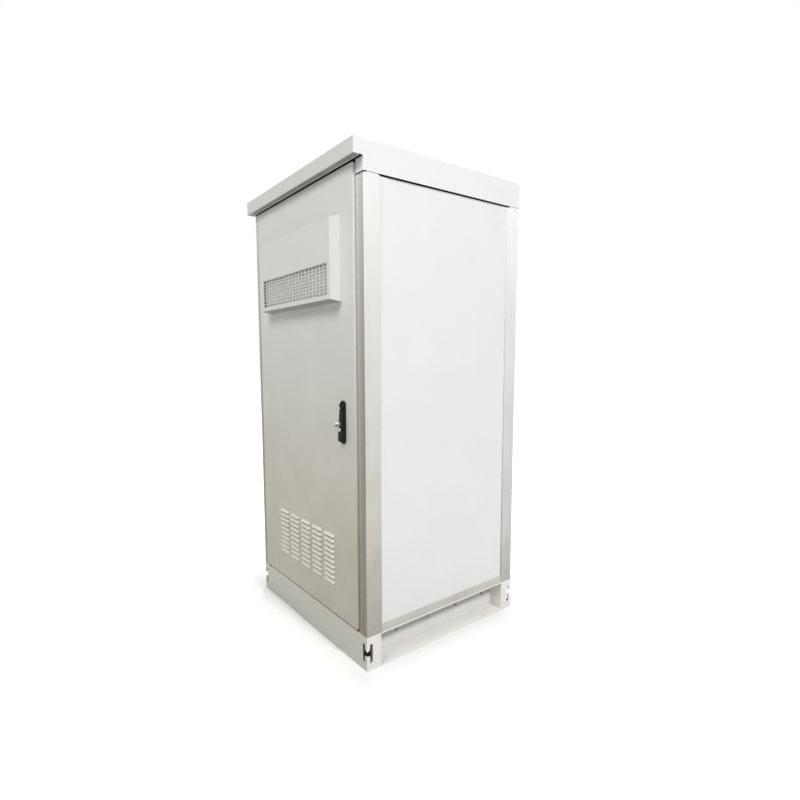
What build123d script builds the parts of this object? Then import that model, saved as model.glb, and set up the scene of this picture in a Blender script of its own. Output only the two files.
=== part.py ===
"""Outdoor equipment cabinet: plinth, post frame, plain panels, roof cap and a ventilated lockable door.

Millimetres, +Z up, the door faces -Y, and the origin lies on the floor at the middle of the footprint.
"""
import os
from math import cos, radians, sin

from build123d import *

# Overall sizes
width = 800
depth = 800
height = 1800
plinth_height = 125

# Fits
clearance = 0.3
overrun = 5

# Plinth: folded front and rear beams, and side channels that open outwards
plinth_sheet = 4
plinth_bend = 4
plinth_block = 64
channel_depth = 58
corner_slot_width = 14
corner_slot_height = 72
corner_slot_inset = 20
corner_slot_level = 62
corner_bridge_height = 17
corner_tongue_rise = 12
anchor_hole_radius = 7
anchor_hole_inset = 16
anchor_spacing = 462
frame_bolt_radius = 5
frame_bolt_count = 4
frame_bolt_end_gap = 96
frame_bolt_inset = 29
frame_bolt_tail = 26
frame_nut_radius = 9
frame_nut_height = 8

# Corner posts, rolled from sheet
post_sheet = 2
post_side_face = 68
post_front_face = 41
post_corner_radius = 4
post_seat_width = 32
post_groove_width = 2.5
post_groove_depth = 0.8
post_groove_inset = 20
rebate_depth = 24
lip_inset = 37

# Frame rails
rail_sheet = 2
rail_face_height = 30
rail_face_recess = 1
rail_seat_height = 30
rail_flange = 45
top_rail_height = 40
top_rail_flange = 36
front_rail_flange = 36
lintel_height = 45

# Plain panels
panel_sheet = 2
panel_recess = 3
panel_gap = 2
panel_top_gap = 5
panel_rib_width = 60
panel_rib_depth = 18
panel_rib_share = 0.25
panel_rib_margin = 60

# Roof
roof_sheet = 2
roof_skirt = 98
roof_gap = 5
fascia_height = 52
visor_overhang = 40
roof_rear_overhang = 4
ceiling_sheet = 2
ceiling_margin = 8
bearer_sheet = 2
bearer_width = 50
bearer_margin = 20
bearer_inset = 150

# Floor
floor_sheet = 2
floor_overlap = 10
gland_opening_length = 320
gland_opening_depth = 180
gland_plate_margin = 20
gland_plate_sheet = 2
gland_shift_share = 0.15
grommet_radius = 24
grommet_step_length = 75
grommet_columns = 3
grommet_rows = 2
grommet_lip = 3
grommet_lip_height = 3
grommet_dome_share = 0.7
grommet_dome_height = 10
grommet_dome_angle = 12

# Rack
rack_side_space = 175
rack_face = 38
rack_web = 45
rack_hem = 12
rack_sheet = 2
rack_front_setback = 100
rack_rear_setback = 180
rack_foot = 60
rack_foot_sheet = 3

# Earth bar
earth_length = 240
earth_depth = 25
earth_height = 6
earth_hole_radius = 4
earth_hole_count = 6
earth_insulator_radius = 11
earth_insulator_height = 28
earth_insulator_share = 0.4
earth_setback = 60

# Door
door_gap = 4
door_proud = 10
door_sheet = 2
door_depth = 22
door_return = 15
door_bottom_gap = 14
door_top_gap = 8
door_corner_radius = 2
gasket_width = 14
gasket_depth = 10
stiffener_width = 44
stiffener_depth = 16
stiffener_sheet = 2
stiffener_margin = 62
stiffener_rod_gap = 30
stiffener_level_shares = (0.36, 0.62)

# Pivot hinge
hinge_inset_x = 12
hinge_inset_y = 8
hinge_pin_radius = 4
hinge_pin_fit = 0.1
hinge_shoulder_radius = 7
hinge_plate = 4
hinge_seat = 20
bush_height = 16
bush_radius = 5.8

# Louvres
louvre_columns = 5
louvre_rows = 10
louvre_pitch_share = 0.1225
louvre_row_height = 20
louvre_gap = 17
louvre_height = 13
louvre_depth = 8
louvre_sheet = 1.2
louvre_end_taper = 6
louvre_end_wall = 1.8
louvre_center_x = 14
louvre_rise = 215

# Vent hood
hood_left_margin = 110
hood_right_margin = 70
hood_depth = 47
hood_sheet = 2
hood_drop = 438
hood_front_height = 276
hood_slope = 12
window_side = 20
window_bottom = 19
window_height = 109
grille_sheet = 1.5
grille_margin = 10
grille_columns = 20
grille_rows = 9
grille_bar_x = 4
grille_bar_z = 3
hood_mat_setback = 12
hood_mat_depth = 8
hood_mat_rise = 30

# Fans
fan_size = 120
fan_pitch_share = 0.4
fan_level_share = 0.75
fan_depth = 38
fan_bore_radius = 56
fan_corner_radius = 6
fan_hub_radius = 25
fan_tip_gap = 4
fan_blade_count = 7
fan_blade_thickness = 2
fan_blade_chord = 28
fan_blade_root_angle = 48
fan_blade_tip_angle = 62
fan_blade_sink = 3
fan_shaft_radius = 3.5
fan_shaft_fit = 0.1
fan_shaft_share = 0.6
fan_rotor_depth = 22
fan_end_gap = 3
fan_spider_depth = 7
fan_strut_width = 8
fan_strut_count = 4
guard_sheet = 1.5
guard_ring_width = 3
guard_ring_count = 3
guard_spoke_width = 4

# Intake filter
filter_margin_x = 7.5
filter_margin_z = 18
filter_depth = 24
filter_sheet = 2
filter_flange = 14
filter_mat_depth = 18

# Swing handle
handle_inset_x = 65
handle_bottom = 802
handle_height = 153
handle_width = 28
handle_depth = 7.5
handle_edge = 1.5
spindle_drop = 17
spindle_head_radius = 11
spindle_head_depth = 6
spindle_head_proud = 4.2
spindle_radius = 6
spindle_slot = 9
lever_width = 22
lever_bottom_gap = 9
lever_top_gap = 13
lever_top_thickness = 4.2
lever_bottom_thickness = 12.6
lever_tongue = 8
lever_knuckle_radius = 3.6
lever_pin_radius = 1.8
lever_pin_fit = 0.1
lever_pin_setback = 0.7
lever_edge = 1.2
lever_end_radius = 8
grip_count = 3
grip_pitch = 14
grip_radius = 9
grip_bite = 1
grip_drop = 29
plug_drop = 64
plug_radius = 6.5
plug_proud = 2.5
keyway_length = 7
keyway_depth = 4
key_sheet = 2
key_shank_width = 6
key_shank_length = 6
key_bow_width = 16
key_bow_length = 15
key_hole_radius = 2.5
button_drop = 85
button_radius = 6.5
button_length = 7
button_proud = 3
button_edge = 0.8

# Rod lock
rod_width = 5
rod_depth = 8
rod_setback = 16
drum_radius = 10
rod_overlap = 24
rod_tip_gap = 2
keeper_height = 13
keeper_length = 22
keeper_sheet = 3
keeper_gap = 1
guide_wall = 3
guide_height = 16
guide_level_shares = (0.3, 0.75)
case_sheet = 1.5
case_height = 70
case_gap = 2

# Places that follow from the sizes above
half_width = width / 2
half_depth = depth / 2
post_top = height - roof_skirt - roof_gap
panel_bottom = plinth_height + rail_face_height
panel_top = post_top - panel_top_gap
seat_inset = panel_recess + panel_sheet

door_half_width = half_width - post_front_face - door_gap
door_front = -half_depth - door_proud
door_inner = door_front + door_sheet
door_back = door_front + door_depth
door_bottom = plinth_height + door_bottom_gap
door_top = height - fascia_height - door_top_gap
door_height = door_top - door_bottom
door_middle = (door_top + door_bottom) / 2

rebate_y = -half_depth + rebate_depth
lip_x = half_width - post_front_face - lip_inset
lip_tip_y = door_inner + gasket_depth + clearance
lip_bottom = door_bottom + door_gap + lip_inset - post_sheet
lip_depth = rebate_y - lip_tip_y

hinge_x = -door_half_width + hinge_inset_x
hinge_y = door_front + hinge_inset_y

handle_center_x = door_half_width - handle_inset_x
spindle_z = handle_bottom + handle_height - spindle_drop
handle_face = door_front - handle_depth
lever_back = handle_face - clearance
lever_pin_y = handle_face + lever_pin_setback
lever_top = spindle_z - lever_top_gap
lever_bottom = handle_bottom + lever_bottom_gap
lever_slope = (lever_bottom_thickness - lever_top_thickness) / (lever_top - lever_bottom)
rod_front = door_inner + rod_setback
rod_offset = drum_radius + clearance + rod_width / 2

hood_width = 2 * door_half_width - hood_left_margin - hood_right_margin
hood_center_x = (hood_left_margin - hood_right_margin) / 2
hood_bottom = door_top - hood_drop
fan_offset = fan_pitch_share * hood_width / 2
fan_centers = (hood_center_x - fan_offset, hood_center_x + fan_offset)
fan_level = hood_bottom + fan_level_share * hood_front_height
fan_back = door_inner + fan_depth
spider_front = fan_back - fan_spider_depth
rotor_back = spider_front - fan_end_gap
rotor_front = rotor_back - fan_rotor_depth

louvre_pitch_x = louvre_pitch_share * 2 * door_half_width
louvre_length = louvre_pitch_x - louvre_gap
louvre_center_z = door_bottom + louvre_rise
filter_length = louvre_columns * louvre_pitch_x + 2 * filter_margin_x
filter_height = louvre_rows * louvre_row_height + 2 * filter_margin_z

floor_top = plinth_height + rail_sheet + floor_sheet
gland_top = floor_top + gland_plate_sheet
gland_shift = gland_shift_share * depth

front_face = Plane(origin=(0, door_front, 0), x_dir=(1, 0, 0), z_dir=(0, -1, 0))


def facing_front(y):
    """Plane at a given y that looks out of the door, with x to the right and z up."""
    return Plane(origin=(0, y, 0), x_dir=(1, 0, 0), z_dir=(0, -1, 0))


def write(piece, name):
    """Label a finished piece and write it to its own file."""
    piece.label = name
    export_step(piece, f"parts/{name}.step")


def write_pair(piece, right_name, left_name):
    """Write a right-hand piece and its mirrored left-hand twin."""
    write(piece, right_name)
    with BuildPart() as twin:
        mirror(piece, about=Plane.YZ)
    write(twin.part, left_name)


def plain_wall(normal, along):
    """Plane through the cabinet's axis that looks out of a plain wall, with z up."""
    return Plane(origin=(0, 0, 0), x_dir=along, z_dir=normal)


plain_walls = {
    "right": (plain_wall((1, 0, 0), (0, 1, 0)), depth, half_width),
    "left": (plain_wall((-1, 0, 0), (0, -1, 0)), depth, half_width),
    "rear": (plain_wall((0, 1, 0), (-1, 0, 0)), width, half_depth),
}

os.makedirs("parts", exist_ok=True)


# Plinth beams: closed sheet boxes with an open back, and an H-shaped cut-out round each corner bend
def corner_cut(edge):
    """One face's half of the cut-out: a long slot and its bridge to the corner edge."""
    inward = -1 if edge > 0 else 1
    slot_at = edge + inward * corner_slot_inset
    past_edge = edge - inward * overrun
    bridge_low = corner_slot_level - corner_bridge_height / 2
    bridge_high = corner_slot_level + corner_bridge_height / 2
    with Locations((slot_at, corner_slot_level)):
        SlotOverall(corner_slot_height, corner_slot_width, rotation=90)
    Polygon(
        (past_edge, bridge_low),
        (slot_at, bridge_low),
        (slot_at, bridge_high + corner_tongue_rise),
        (edge, bridge_high),
        (past_edge, bridge_high),
        align=None,
    )


with BuildPart() as plinth_front:
    with BuildSketch():
        with Locations((0, -half_depth + plinth_block / 2)):
            Rectangle(width, plinth_block)
    extrude(amount=plinth_height)
    fillet(plinth_front.edges().filter_by(Axis.Z).group_by(Axis.Y)[0], plinth_bend)
    with BuildSketch(Plane.XY.offset(plinth_sheet)):
        with Locations((0, -half_depth + plinth_block / 2)):
            Rectangle(width - 2 * plinth_sheet, plinth_block - 2 * plinth_sheet)
        with Locations((0, -half_depth + plinth_sheet)):
            Rectangle(width - 2 * channel_depth, plinth_block, align=(Align.CENTER, Align.MIN))
    extrude(amount=plinth_height - 2 * plinth_sheet, mode=Mode.SUBTRACT)
    with BuildSketch(facing_front(-half_depth)):
        corner_cut(half_width)
        corner_cut(-half_width)
    extrude(amount=-plinth_sheet, mode=Mode.SUBTRACT)
    for side in (1, -1):
        side_plane = Plane(origin=(side * half_width, 0, 0), x_dir=(0, side, 0), z_dir=(side, 0, 0))
        with BuildSketch(side_plane):
            corner_cut(-side * half_depth)
        extrude(amount=-plinth_sheet, mode=Mode.SUBTRACT)
write(plinth_front.part, "plinth_front")

with BuildPart() as plinth_rear:
    mirror(plinth_front.part, about=Plane.XZ)
write(plinth_rear.part, "plinth_rear")

# Side channels: the web stands back from the side, and the flanges carry the anchor and frame bolts
channel_length = depth - 2 * plinth_block
frame_bolt_x = half_width - frame_bolt_inset
first_bolt_y = frame_bolt_end_gap - channel_length / 2
frame_bolt_pitch = -2 * first_bolt_y / (frame_bolt_count - 1)
frame_bolt_places = [
    (frame_bolt_x, first_bolt_y + index * frame_bolt_pitch) for index in range(frame_bolt_count)
]
with BuildPart() as plinth_channel:
    with BuildSketch(Plane.XZ):
        with Locations((half_width, 0)):
            Rectangle(channel_depth + plinth_sheet, plinth_height, align=(Align.MAX, Align.MIN))
        with Locations((half_width, plinth_sheet)):
            Rectangle(
                channel_depth,
                plinth_height - 2 * plinth_sheet,
                align=(Align.MAX, Align.MIN),
                mode=Mode.SUBTRACT,
            )
    extrude(amount=channel_length / 2, both=True)
    with BuildSketch():
        with Locations((half_width - anchor_hole_inset, 0)):
            with GridLocations(0, anchor_spacing, 1, 2):
                Circle(anchor_hole_radius)
    extrude(amount=plinth_sheet, mode=Mode.SUBTRACT)
    with BuildSketch(Plane.XY.offset(plinth_height)):
        with Locations(*frame_bolt_places):
            Circle(frame_bolt_radius + clearance)
    extrude(amount=-plinth_sheet, mode=Mode.SUBTRACT)
write_pair(plinth_channel.part, "plinth_channel_right", "plinth_channel_left")

# Bolts that hold the frame down on the channels, with their nuts and thread ends below the flange
bolt_foot = plinth_height - plinth_sheet - frame_nut_height - frame_bolt_tail
bolt_seat = plinth_height + rail_sheet
with BuildPart() as frame_bolts:
    with BuildSketch(Plane.XY.offset(bolt_foot)):
        with Locations(*frame_bolt_places):
            Circle(frame_bolt_radius)
    extrude(amount=bolt_seat - bolt_foot)
    with BuildSketch(Plane.XY.offset(plinth_height - plinth_sheet)):
        with Locations(*frame_bolt_places):
            RegularPolygon(frame_nut_radius, 6)
    extrude(amount=-frame_nut_height)
    with BuildSketch(Plane.XY.offset(bolt_seat)):
        with Locations(*frame_bolt_places):
            RegularPolygon(frame_nut_radius, 6)
    extrude(amount=frame_nut_height)
    mirror(about=Plane.YZ)
write(frame_bolts.part, "frame_bolts")

# Front posts: one rolled sheet that makes the panel seat, the corner, the door rebate and the sealing lip
front_corner = (half_width, -half_depth)
with BuildPart() as post_front:
    with BuildSketch(Plane.XY.offset(plinth_height)) as front_section:
        with BuildLine():
            Polyline(
                (half_width - seat_inset, -half_depth + post_side_face + post_seat_width),
                (half_width - seat_inset, -half_depth + post_side_face),
                (half_width, -half_depth + post_side_face),
                front_corner,
                (half_width - post_front_face, -half_depth),
                (half_width - post_front_face, rebate_y),
                (lip_x, rebate_y),
                (lip_x, lip_tip_y),
            )
            offset(amount=post_sheet, side=Side.RIGHT)
        make_face()
        corner_vertices = front_section.vertices().sort_by_distance((*front_corner, plinth_height))
        fillet(corner_vertices[0], post_corner_radius)
        with Locations((half_width - post_groove_inset, -half_depth)):
            Rectangle(
                post_groove_width,
                post_groove_depth,
                align=(Align.CENTER, Align.MIN),
                mode=Mode.SUBTRACT,
            )
    extrude(amount=post_top - plinth_height)
    with BuildSketch(Plane.XY.offset(plinth_height)):
        with Locations((lip_x, rebate_y)):
            Rectangle(post_sheet, lip_depth, align=(Align.MAX, Align.MAX))
    extrude(amount=lip_bottom - plinth_height, mode=Mode.SUBTRACT)
write_pair(post_front.part, "post_front_right", "post_front_left")

# Rear posts: the same sheet with a panel seat on both faces
rear_corner = (half_width, half_depth)
with BuildPart() as post_rear:
    with BuildSketch(Plane.XY.offset(plinth_height)) as rear_section:
        with BuildLine():
            Polyline(
                (half_width - seat_inset, half_depth - post_side_face - post_seat_width),
                (half_width - seat_inset, half_depth - post_side_face),
                (half_width, half_depth - post_side_face),
                rear_corner,
                (half_width - post_side_face, half_depth),
                (half_width - post_side_face, half_depth - seat_inset),
                (half_width - post_side_face - post_seat_width, half_depth - seat_inset),
            )
            offset(amount=post_sheet, side=Side.LEFT)
        make_face()
        corner_vertices = rear_section.vertices().sort_by_distance((*rear_corner, plinth_height))
        fillet(corner_vertices[0], post_corner_radius)
    extrude(amount=post_top - plinth_height)
write_pair(post_rear.part, "post_rear_right", "post_rear_left")

# Bottom and top rails of the three plain walls, and the panels that they carry
for wall, (wall_plane, wall_length, wall_reach) in plain_walls.items():
    seat = wall_reach - seat_inset
    face_length = wall_length - 2 * post_side_face
    web_length = face_length - 2 * post_seat_width
    web_height = rail_face_height + rail_seat_height
    with BuildPart() as bottom_rail:
        with BuildSketch(wall_plane.offset(seat)):
            with Locations((0, plinth_height)):
                Rectangle(web_length, web_height, align=(Align.CENTER, Align.MIN))
        extrude(amount=-rail_sheet)
        with BuildSketch(wall_plane.offset(seat)):
            with Locations((0, plinth_height)):
                Rectangle(web_length, rail_sheet, align=(Align.CENTER, Align.MIN))
        extrude(amount=-rail_flange)
        with BuildSketch(wall_plane.offset(seat)):
            with Locations((0, plinth_height)):
                Rectangle(face_length, rail_face_height, align=(Align.CENTER, Align.MIN))
        extrude(amount=seat_inset - rail_face_recess)
        if wall != "rear":
            bolt_side = 1 if wall == "right" else -1
            with BuildSketch(Plane.XY.offset(plinth_height)):
                with Locations(*[(bolt_side * x, y) for x, y in frame_bolt_places]):
                    Circle(frame_bolt_radius + clearance)
            extrude(amount=rail_sheet, mode=Mode.SUBTRACT)
    write(bottom_rail.part, f"bottom_rail_{wall}")

    with BuildPart() as top_rail:
        with BuildSketch(wall_plane.offset(seat)):
            with Locations((0, post_top)):
                Rectangle(web_length, top_rail_height, align=(Align.CENTER, Align.MAX))
        extrude(amount=-top_rail_flange)
        with BuildSketch(wall_plane.offset(seat - rail_sheet)):
            with Locations((0, post_top - rail_sheet)):
                Rectangle(
                    web_length,
                    top_rail_height - 2 * rail_sheet,
                    align=(Align.CENTER, Align.MAX),
                )
        extrude(amount=-top_rail_flange, mode=Mode.SUBTRACT)
    write(top_rail.part, f"top_rail_{wall}")

    panel_length = face_length - 2 * panel_gap
    rib_height = panel_top - panel_bottom - 2 * panel_rib_margin
    with BuildPart() as panel:
        with BuildSketch(wall_plane.offset(seat)):
            with Locations((0, panel_bottom)):
                Rectangle(panel_length, panel_top - panel_bottom, align=(Align.CENTER, Align.MIN))
        extrude(amount=panel_sheet)
        with BuildSketch(wall_plane.offset(seat)):
            with Locations((0, (panel_top + panel_bottom) / 2)):
                with GridLocations(panel_length * panel_rib_share * 2, 0, 2, 1):
                    Rectangle(panel_rib_width, rib_height)
        extrude(amount=-panel_rib_depth)
        with BuildSketch(wall_plane.offset(seat)):
            with Locations((0, (panel_top + panel_bottom) / 2)):
                with GridLocations(panel_length * panel_rib_share * 2, 0, 2, 1):
                    Rectangle(panel_rib_width - 2 * panel_sheet, rib_height)
        extrude(amount=panel_sheet - panel_rib_depth, mode=Mode.SUBTRACT)
    write(panel.part, "rear_panel" if wall == "rear" else f"side_panel_{wall}")

# Front sill: a web between the posts, its foot on the plinth and the lip that meets the gasket
with BuildPart() as bottom_rail_front:
    with BuildSketch(Plane.YZ):
        with Locations((rebate_y, plinth_height)):
            Rectangle(post_sheet, lip_bottom - plinth_height + post_sheet, align=(Align.MIN, Align.MIN))
            Rectangle(front_rail_flange, rail_sheet, align=(Align.MIN, Align.MIN))
        with Locations((lip_tip_y, lip_bottom)):
            Rectangle(lip_depth, post_sheet, align=(Align.MIN, Align.MIN))
    extrude(amount=lip_x - post_sheet, both=True)
write(bottom_rail_front.part, "bottom_rail_front")

# Lintel: it stands on the front posts and closes the door opening at the top
lintel_top = post_top + lintel_height
with BuildPart() as top_rail_front:
    with BuildSketch(Plane.YZ):
        with Locations((rebate_y, post_top)):
            Rectangle(post_sheet, lintel_height, align=(Align.MIN, Align.MIN))
        with Locations((rebate_y, lintel_top)):
            Rectangle(front_rail_flange, rail_sheet, align=(Align.MIN, Align.MAX))
    extrude(amount=half_width - post_front_face, both=True)
    with BuildSketch(Plane.YZ):
        with Locations((lip_tip_y, post_top)):
            Rectangle(lip_depth, post_sheet, align=(Align.MIN, Align.MIN))
    extrude(amount=lip_x, both=True)
write(top_rail_front.part, "top_rail_front")

# Ceiling plate on the posts and rails, and the two channels that hold the roof above it
ceiling_front = rebate_y + post_sheet
ceiling_rear = half_depth - ceiling_margin
ceiling_top = post_top + ceiling_sheet
with BuildPart() as ceiling_plate:
    with BuildSketch(Plane.XY.offset(post_top)):
        with Locations((0, ceiling_front)):
            Rectangle(
                width - 2 * ceiling_margin,
                ceiling_rear - ceiling_front,
                align=(Align.CENTER, Align.MIN),
            )
    extrude(amount=ceiling_sheet)
write(ceiling_plate.part, "ceiling_plate")

bearer_height = height - roof_sheet - ceiling_top
bearer_spread = depth - 2 * bearer_inset
with BuildPart() as roof_bearers:
    with BuildSketch(Plane.YZ):
        with Locations((0, ceiling_top)):
            with GridLocations(bearer_spread, 0, 2, 1):
                Rectangle(bearer_width, bearer_height, align=(Align.CENTER, Align.MIN))
        with Locations((bearer_sheet, ceiling_top + bearer_sheet)):
            with GridLocations(bearer_spread, 0, 2, 1):
                Rectangle(
                    bearer_width,
                    bearer_height - 2 * bearer_sheet,
                    align=(Align.CENTER, Align.MIN),
                    mode=Mode.SUBTRACT,
                )
    extrude(amount=half_width - ceiling_margin - bearer_margin, both=True)
write(roof_bearers.part, "roof_bearers")

# Roof cap: a folded sheet hat with a visor that is open below and two short returns beside the door
skirt_bottom = height - roof_skirt
fascia_bottom = height - fascia_height
visor_front = -half_depth - visor_overhang
roof_rear = half_depth + roof_rear_overhang
with BuildPart() as roof_cap:
    with BuildSketch(Plane.YZ):
        with BuildLine():
            Polyline(
                (visor_front, fascia_bottom),
                (visor_front, height),
                (roof_rear, height),
                (roof_rear, skirt_bottom),
                (-half_depth, skirt_bottom),
                (-half_depth, fascia_bottom),
                close=True,
            )
        make_face()
    extrude(amount=half_width, both=True)
    with BuildSketch(Plane.YZ):
        with BuildLine():
            Polyline(
                (visor_front + roof_sheet, fascia_bottom - overrun),
                (visor_front + roof_sheet, height - roof_sheet),
                (roof_rear - roof_sheet, height - roof_sheet),
                (roof_rear - roof_sheet, skirt_bottom - overrun),
                (-half_depth - overrun, skirt_bottom - overrun),
                (-half_depth - overrun, fascia_bottom - overrun),
                close=True,
            )
        make_face()
    extrude(amount=half_width - roof_sheet, both=True, mode=Mode.SUBTRACT)
    with BuildSketch(facing_front(-half_depth)):
        with Locations((0, skirt_bottom)):
            Rectangle(width, roof_skirt - fascia_height, align=(Align.CENTER, Align.MIN))
            Rectangle(
                width - 2 * post_front_face,
                roof_skirt - fascia_height,
                align=(Align.CENTER, Align.MIN),
                mode=Mode.SUBTRACT,
            )
    extrude(amount=-roof_sheet)
write(roof_cap.part, "roof_cap")

# Floor plate on the rail flanges, with an opening closed by the gland plate
floor_half_width = half_width - seat_inset - rail_flange + floor_overlap
floor_front = rebate_y + front_rail_flange - floor_overlap
floor_rear = half_depth - seat_inset - rail_flange + floor_overlap
with BuildPart() as floor_plate:
    with BuildSketch(Plane.XY.offset(plinth_height + rail_sheet)):
        with Locations((0, floor_front)):
            Rectangle(2 * floor_half_width, floor_rear - floor_front, align=(Align.CENTER, Align.MIN))
        with Locations((0, gland_shift)):
            Rectangle(gland_opening_length, gland_opening_depth, mode=Mode.SUBTRACT)
    extrude(amount=floor_sheet)
write(floor_plate.part, "floor_plate")

with BuildPart() as gland_plate:
    with BuildSketch(Plane.XY.offset(floor_top)):
        with Locations((0, gland_shift)):
            Rectangle(
                gland_opening_length + 2 * gland_plate_margin,
                gland_opening_depth + 2 * gland_plate_margin,
            )
            with GridLocations(grommet_step_length, grommet_step_length, grommet_columns, grommet_rows):
                Circle(grommet_radius, mode=Mode.SUBTRACT)
    extrude(amount=gland_plate_sheet)
write(gland_plate.part, "gland_plate")

# Closed rubber grommets that are pierced where a cable goes through
with BuildPart() as cable_grommets:
    with BuildSketch(Plane.XY.offset(floor_top - grommet_lip_height)):
        with Locations((0, gland_shift)):
            with GridLocations(grommet_step_length, grommet_step_length, grommet_columns, grommet_rows):
                Circle(grommet_radius)
    extrude(amount=gland_top - floor_top + 2 * grommet_lip_height)
    with BuildSketch(Plane.XY.offset(gland_top)):
        with Locations((0, gland_shift)):
            with GridLocations(grommet_step_length, grommet_step_length, grommet_columns, grommet_rows):
                Circle(grommet_radius + grommet_lip)
    extrude(amount=grommet_lip_height)
    with BuildSketch(Plane.XY.offset(gland_top + grommet_lip_height)):
        with Locations((0, gland_shift)):
            with GridLocations(grommet_step_length, grommet_step_length, grommet_columns, grommet_rows):
                Circle(grommet_radius * grommet_dome_share)
    extrude(amount=grommet_dome_height, taper=grommet_dome_angle)
write(cable_grommets.part, "cable_grommets")

# Rack rails: hemmed angles that stand on the floor plate and reach the ceiling plate
rack_edge = half_width - rack_side_space
rack_front_y = -half_depth + rack_front_setback
rack_rear_y = half_depth - rack_rear_setback
for row, (face_y, back) in {"front": (rack_front_y, 1), "rear": (rack_rear_y, -1)}.items():
    face_align = (Align.MIN, Align.MIN if back > 0 else Align.MAX)
    web_align = (Align.MAX, face_align[1])
    with BuildPart() as rack_rail:
        with BuildSketch(Plane.XY.offset(floor_top)):
            with Locations((rack_edge, face_y)):
                Rectangle(rack_face, rack_sheet, align=face_align)
            with Locations((rack_edge + rack_face, face_y)):
                Rectangle(rack_sheet, rack_web, align=web_align)
            with Locations((rack_edge + rack_face, face_y + back * (rack_web - rack_sheet))):
                Rectangle(rack_hem, rack_sheet, align=web_align)
        extrude(amount=post_top - floor_top)
        for level, upward in ((floor_top, 1), (post_top, -1)):
            with BuildSketch(Plane.XY.offset(level)):
                with Locations((rack_edge + rack_face, face_y)):
                    Rectangle(rack_foot, rack_web, align=face_align)
            extrude(amount=upward * rack_foot_sheet)
    write_pair(rack_rail.part, f"rack_rail_{row}_right", f"rack_rail_{row}_left")

# Earth bar on two insulators at the back of the floor
earth_y = floor_rear - earth_setback
earth_level = floor_top + earth_insulator_height
with BuildPart() as earth_insulators:
    with BuildSketch(Plane.XY.offset(floor_top)):
        with Locations((0, earth_y)):
            with GridLocations(2 * earth_insulator_share * earth_length, 0, 2, 1):
                RegularPolygon(earth_insulator_radius, 6)
    extrude(amount=earth_insulator_height)
write(earth_insulators.part, "earth_insulators")

with BuildPart() as earth_bar:
    with BuildSketch(Plane.XY.offset(earth_level)):
        with Locations((0, earth_y)):
            Rectangle(earth_length, earth_depth)
            with GridLocations(earth_length / (earth_hole_count + 2), 0, earth_hole_count, 1):
                Circle(earth_hole_radius, mode=Mode.SUBTRACT)
    extrude(amount=earth_height)
write(earth_bar.part, "earth_bar")

# Door tray: a folded skin with pressed louvres, two fan ports and the holes of the lock and the pivots
slot_length = louvre_length - 2 * louvre_end_wall
slot_height = louvre_height - louvre_sheet
slot_level = louvre_center_z - louvre_sheet / 2
with BuildPart() as door_panel:
    with BuildSketch(front_face):
        with Locations((0, door_middle)):
            RectangleRounded(2 * door_half_width, door_height, door_corner_radius)
    extrude(amount=-door_depth)
    with BuildSketch(facing_front(door_inner)):
        with Locations((0, door_middle)):
            Rectangle(2 * (door_half_width - door_sheet), door_height - 2 * door_sheet)
    extrude(amount=2 * door_sheet - door_depth, mode=Mode.SUBTRACT)
    with BuildSketch(facing_front(door_back)):
        with Locations((0, door_middle)):
            Rectangle(2 * (door_half_width - door_return), door_height - 2 * door_return)
    extrude(amount=door_sheet, mode=Mode.SUBTRACT)
    with BuildSketch(front_face):
        with Locations(*[(x, fan_level) for x in fan_centers]):
            Circle(fan_bore_radius)
        with Locations((handle_center_x, spindle_z)):
            Circle(spindle_radius + clearance)
        with Locations((louvre_center_x, slot_level)):
            with GridLocations(louvre_pitch_x, louvre_row_height, louvre_columns, louvre_rows):
                Rectangle(slot_length, slot_height)
    extrude(amount=-door_sheet, mode=Mode.SUBTRACT)
    for level, upward in ((door_bottom, 1), (door_top, -1)):
        with BuildSketch(Plane.XY.offset(level)):
            with Locations((hinge_x, hinge_y)):
                Circle(hinge_pin_radius + clearance)
        extrude(amount=upward * door_sheet, mode=Mode.SUBTRACT)
    with Locations(front_face):
        with Locations((louvre_center_x, louvre_center_z)):
            with GridLocations(louvre_pitch_x, louvre_row_height, louvre_columns, louvre_rows):
                Wedge(
                    louvre_length,
                    louvre_depth,
                    louvre_height,
                    louvre_end_taper,
                    louvre_height - 2 * louvre_sheet,
                    louvre_length - louvre_end_taper,
                    louvre_height,
                    rotation=(90, 0, 0),
                    align=(Align.CENTER, Align.MIN, Align.CENTER),
                )
        with Locations((louvre_center_x, slot_level)):
            with GridLocations(louvre_pitch_x, louvre_row_height, louvre_columns, louvre_rows):
                Wedge(
                    slot_length,
                    louvre_depth - louvre_sheet,
                    slot_height,
                    louvre_end_taper,
                    slot_height - louvre_sheet,
                    slot_length - louvre_end_taper,
                    slot_height,
                    rotation=(90, 0, 0),
                    align=(Align.CENTER, Align.MIN, Align.CENTER),
                    mode=Mode.SUBTRACT,
                )
write(door_panel.part, "door_panel")

# Foamed gasket on the skin, in line with the lip round the door opening
lip_middle_x = lip_x - post_sheet / 2
lip_low = lip_bottom + post_sheet / 2
lip_high = post_top + post_sheet / 2
with BuildPart() as door_gasket:
    with BuildSketch(facing_front(door_inner)):
        with Locations((0, (lip_low + lip_high) / 2)):
            Rectangle(2 * lip_middle_x + gasket_width, lip_high - lip_low + gasket_width)
            Rectangle(
                2 * lip_middle_x - gasket_width,
                lip_high - lip_low - gasket_width,
                mode=Mode.SUBTRACT,
            )
    extrude(amount=-gasket_depth)
write(door_gasket.part, "door_gasket")

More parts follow.
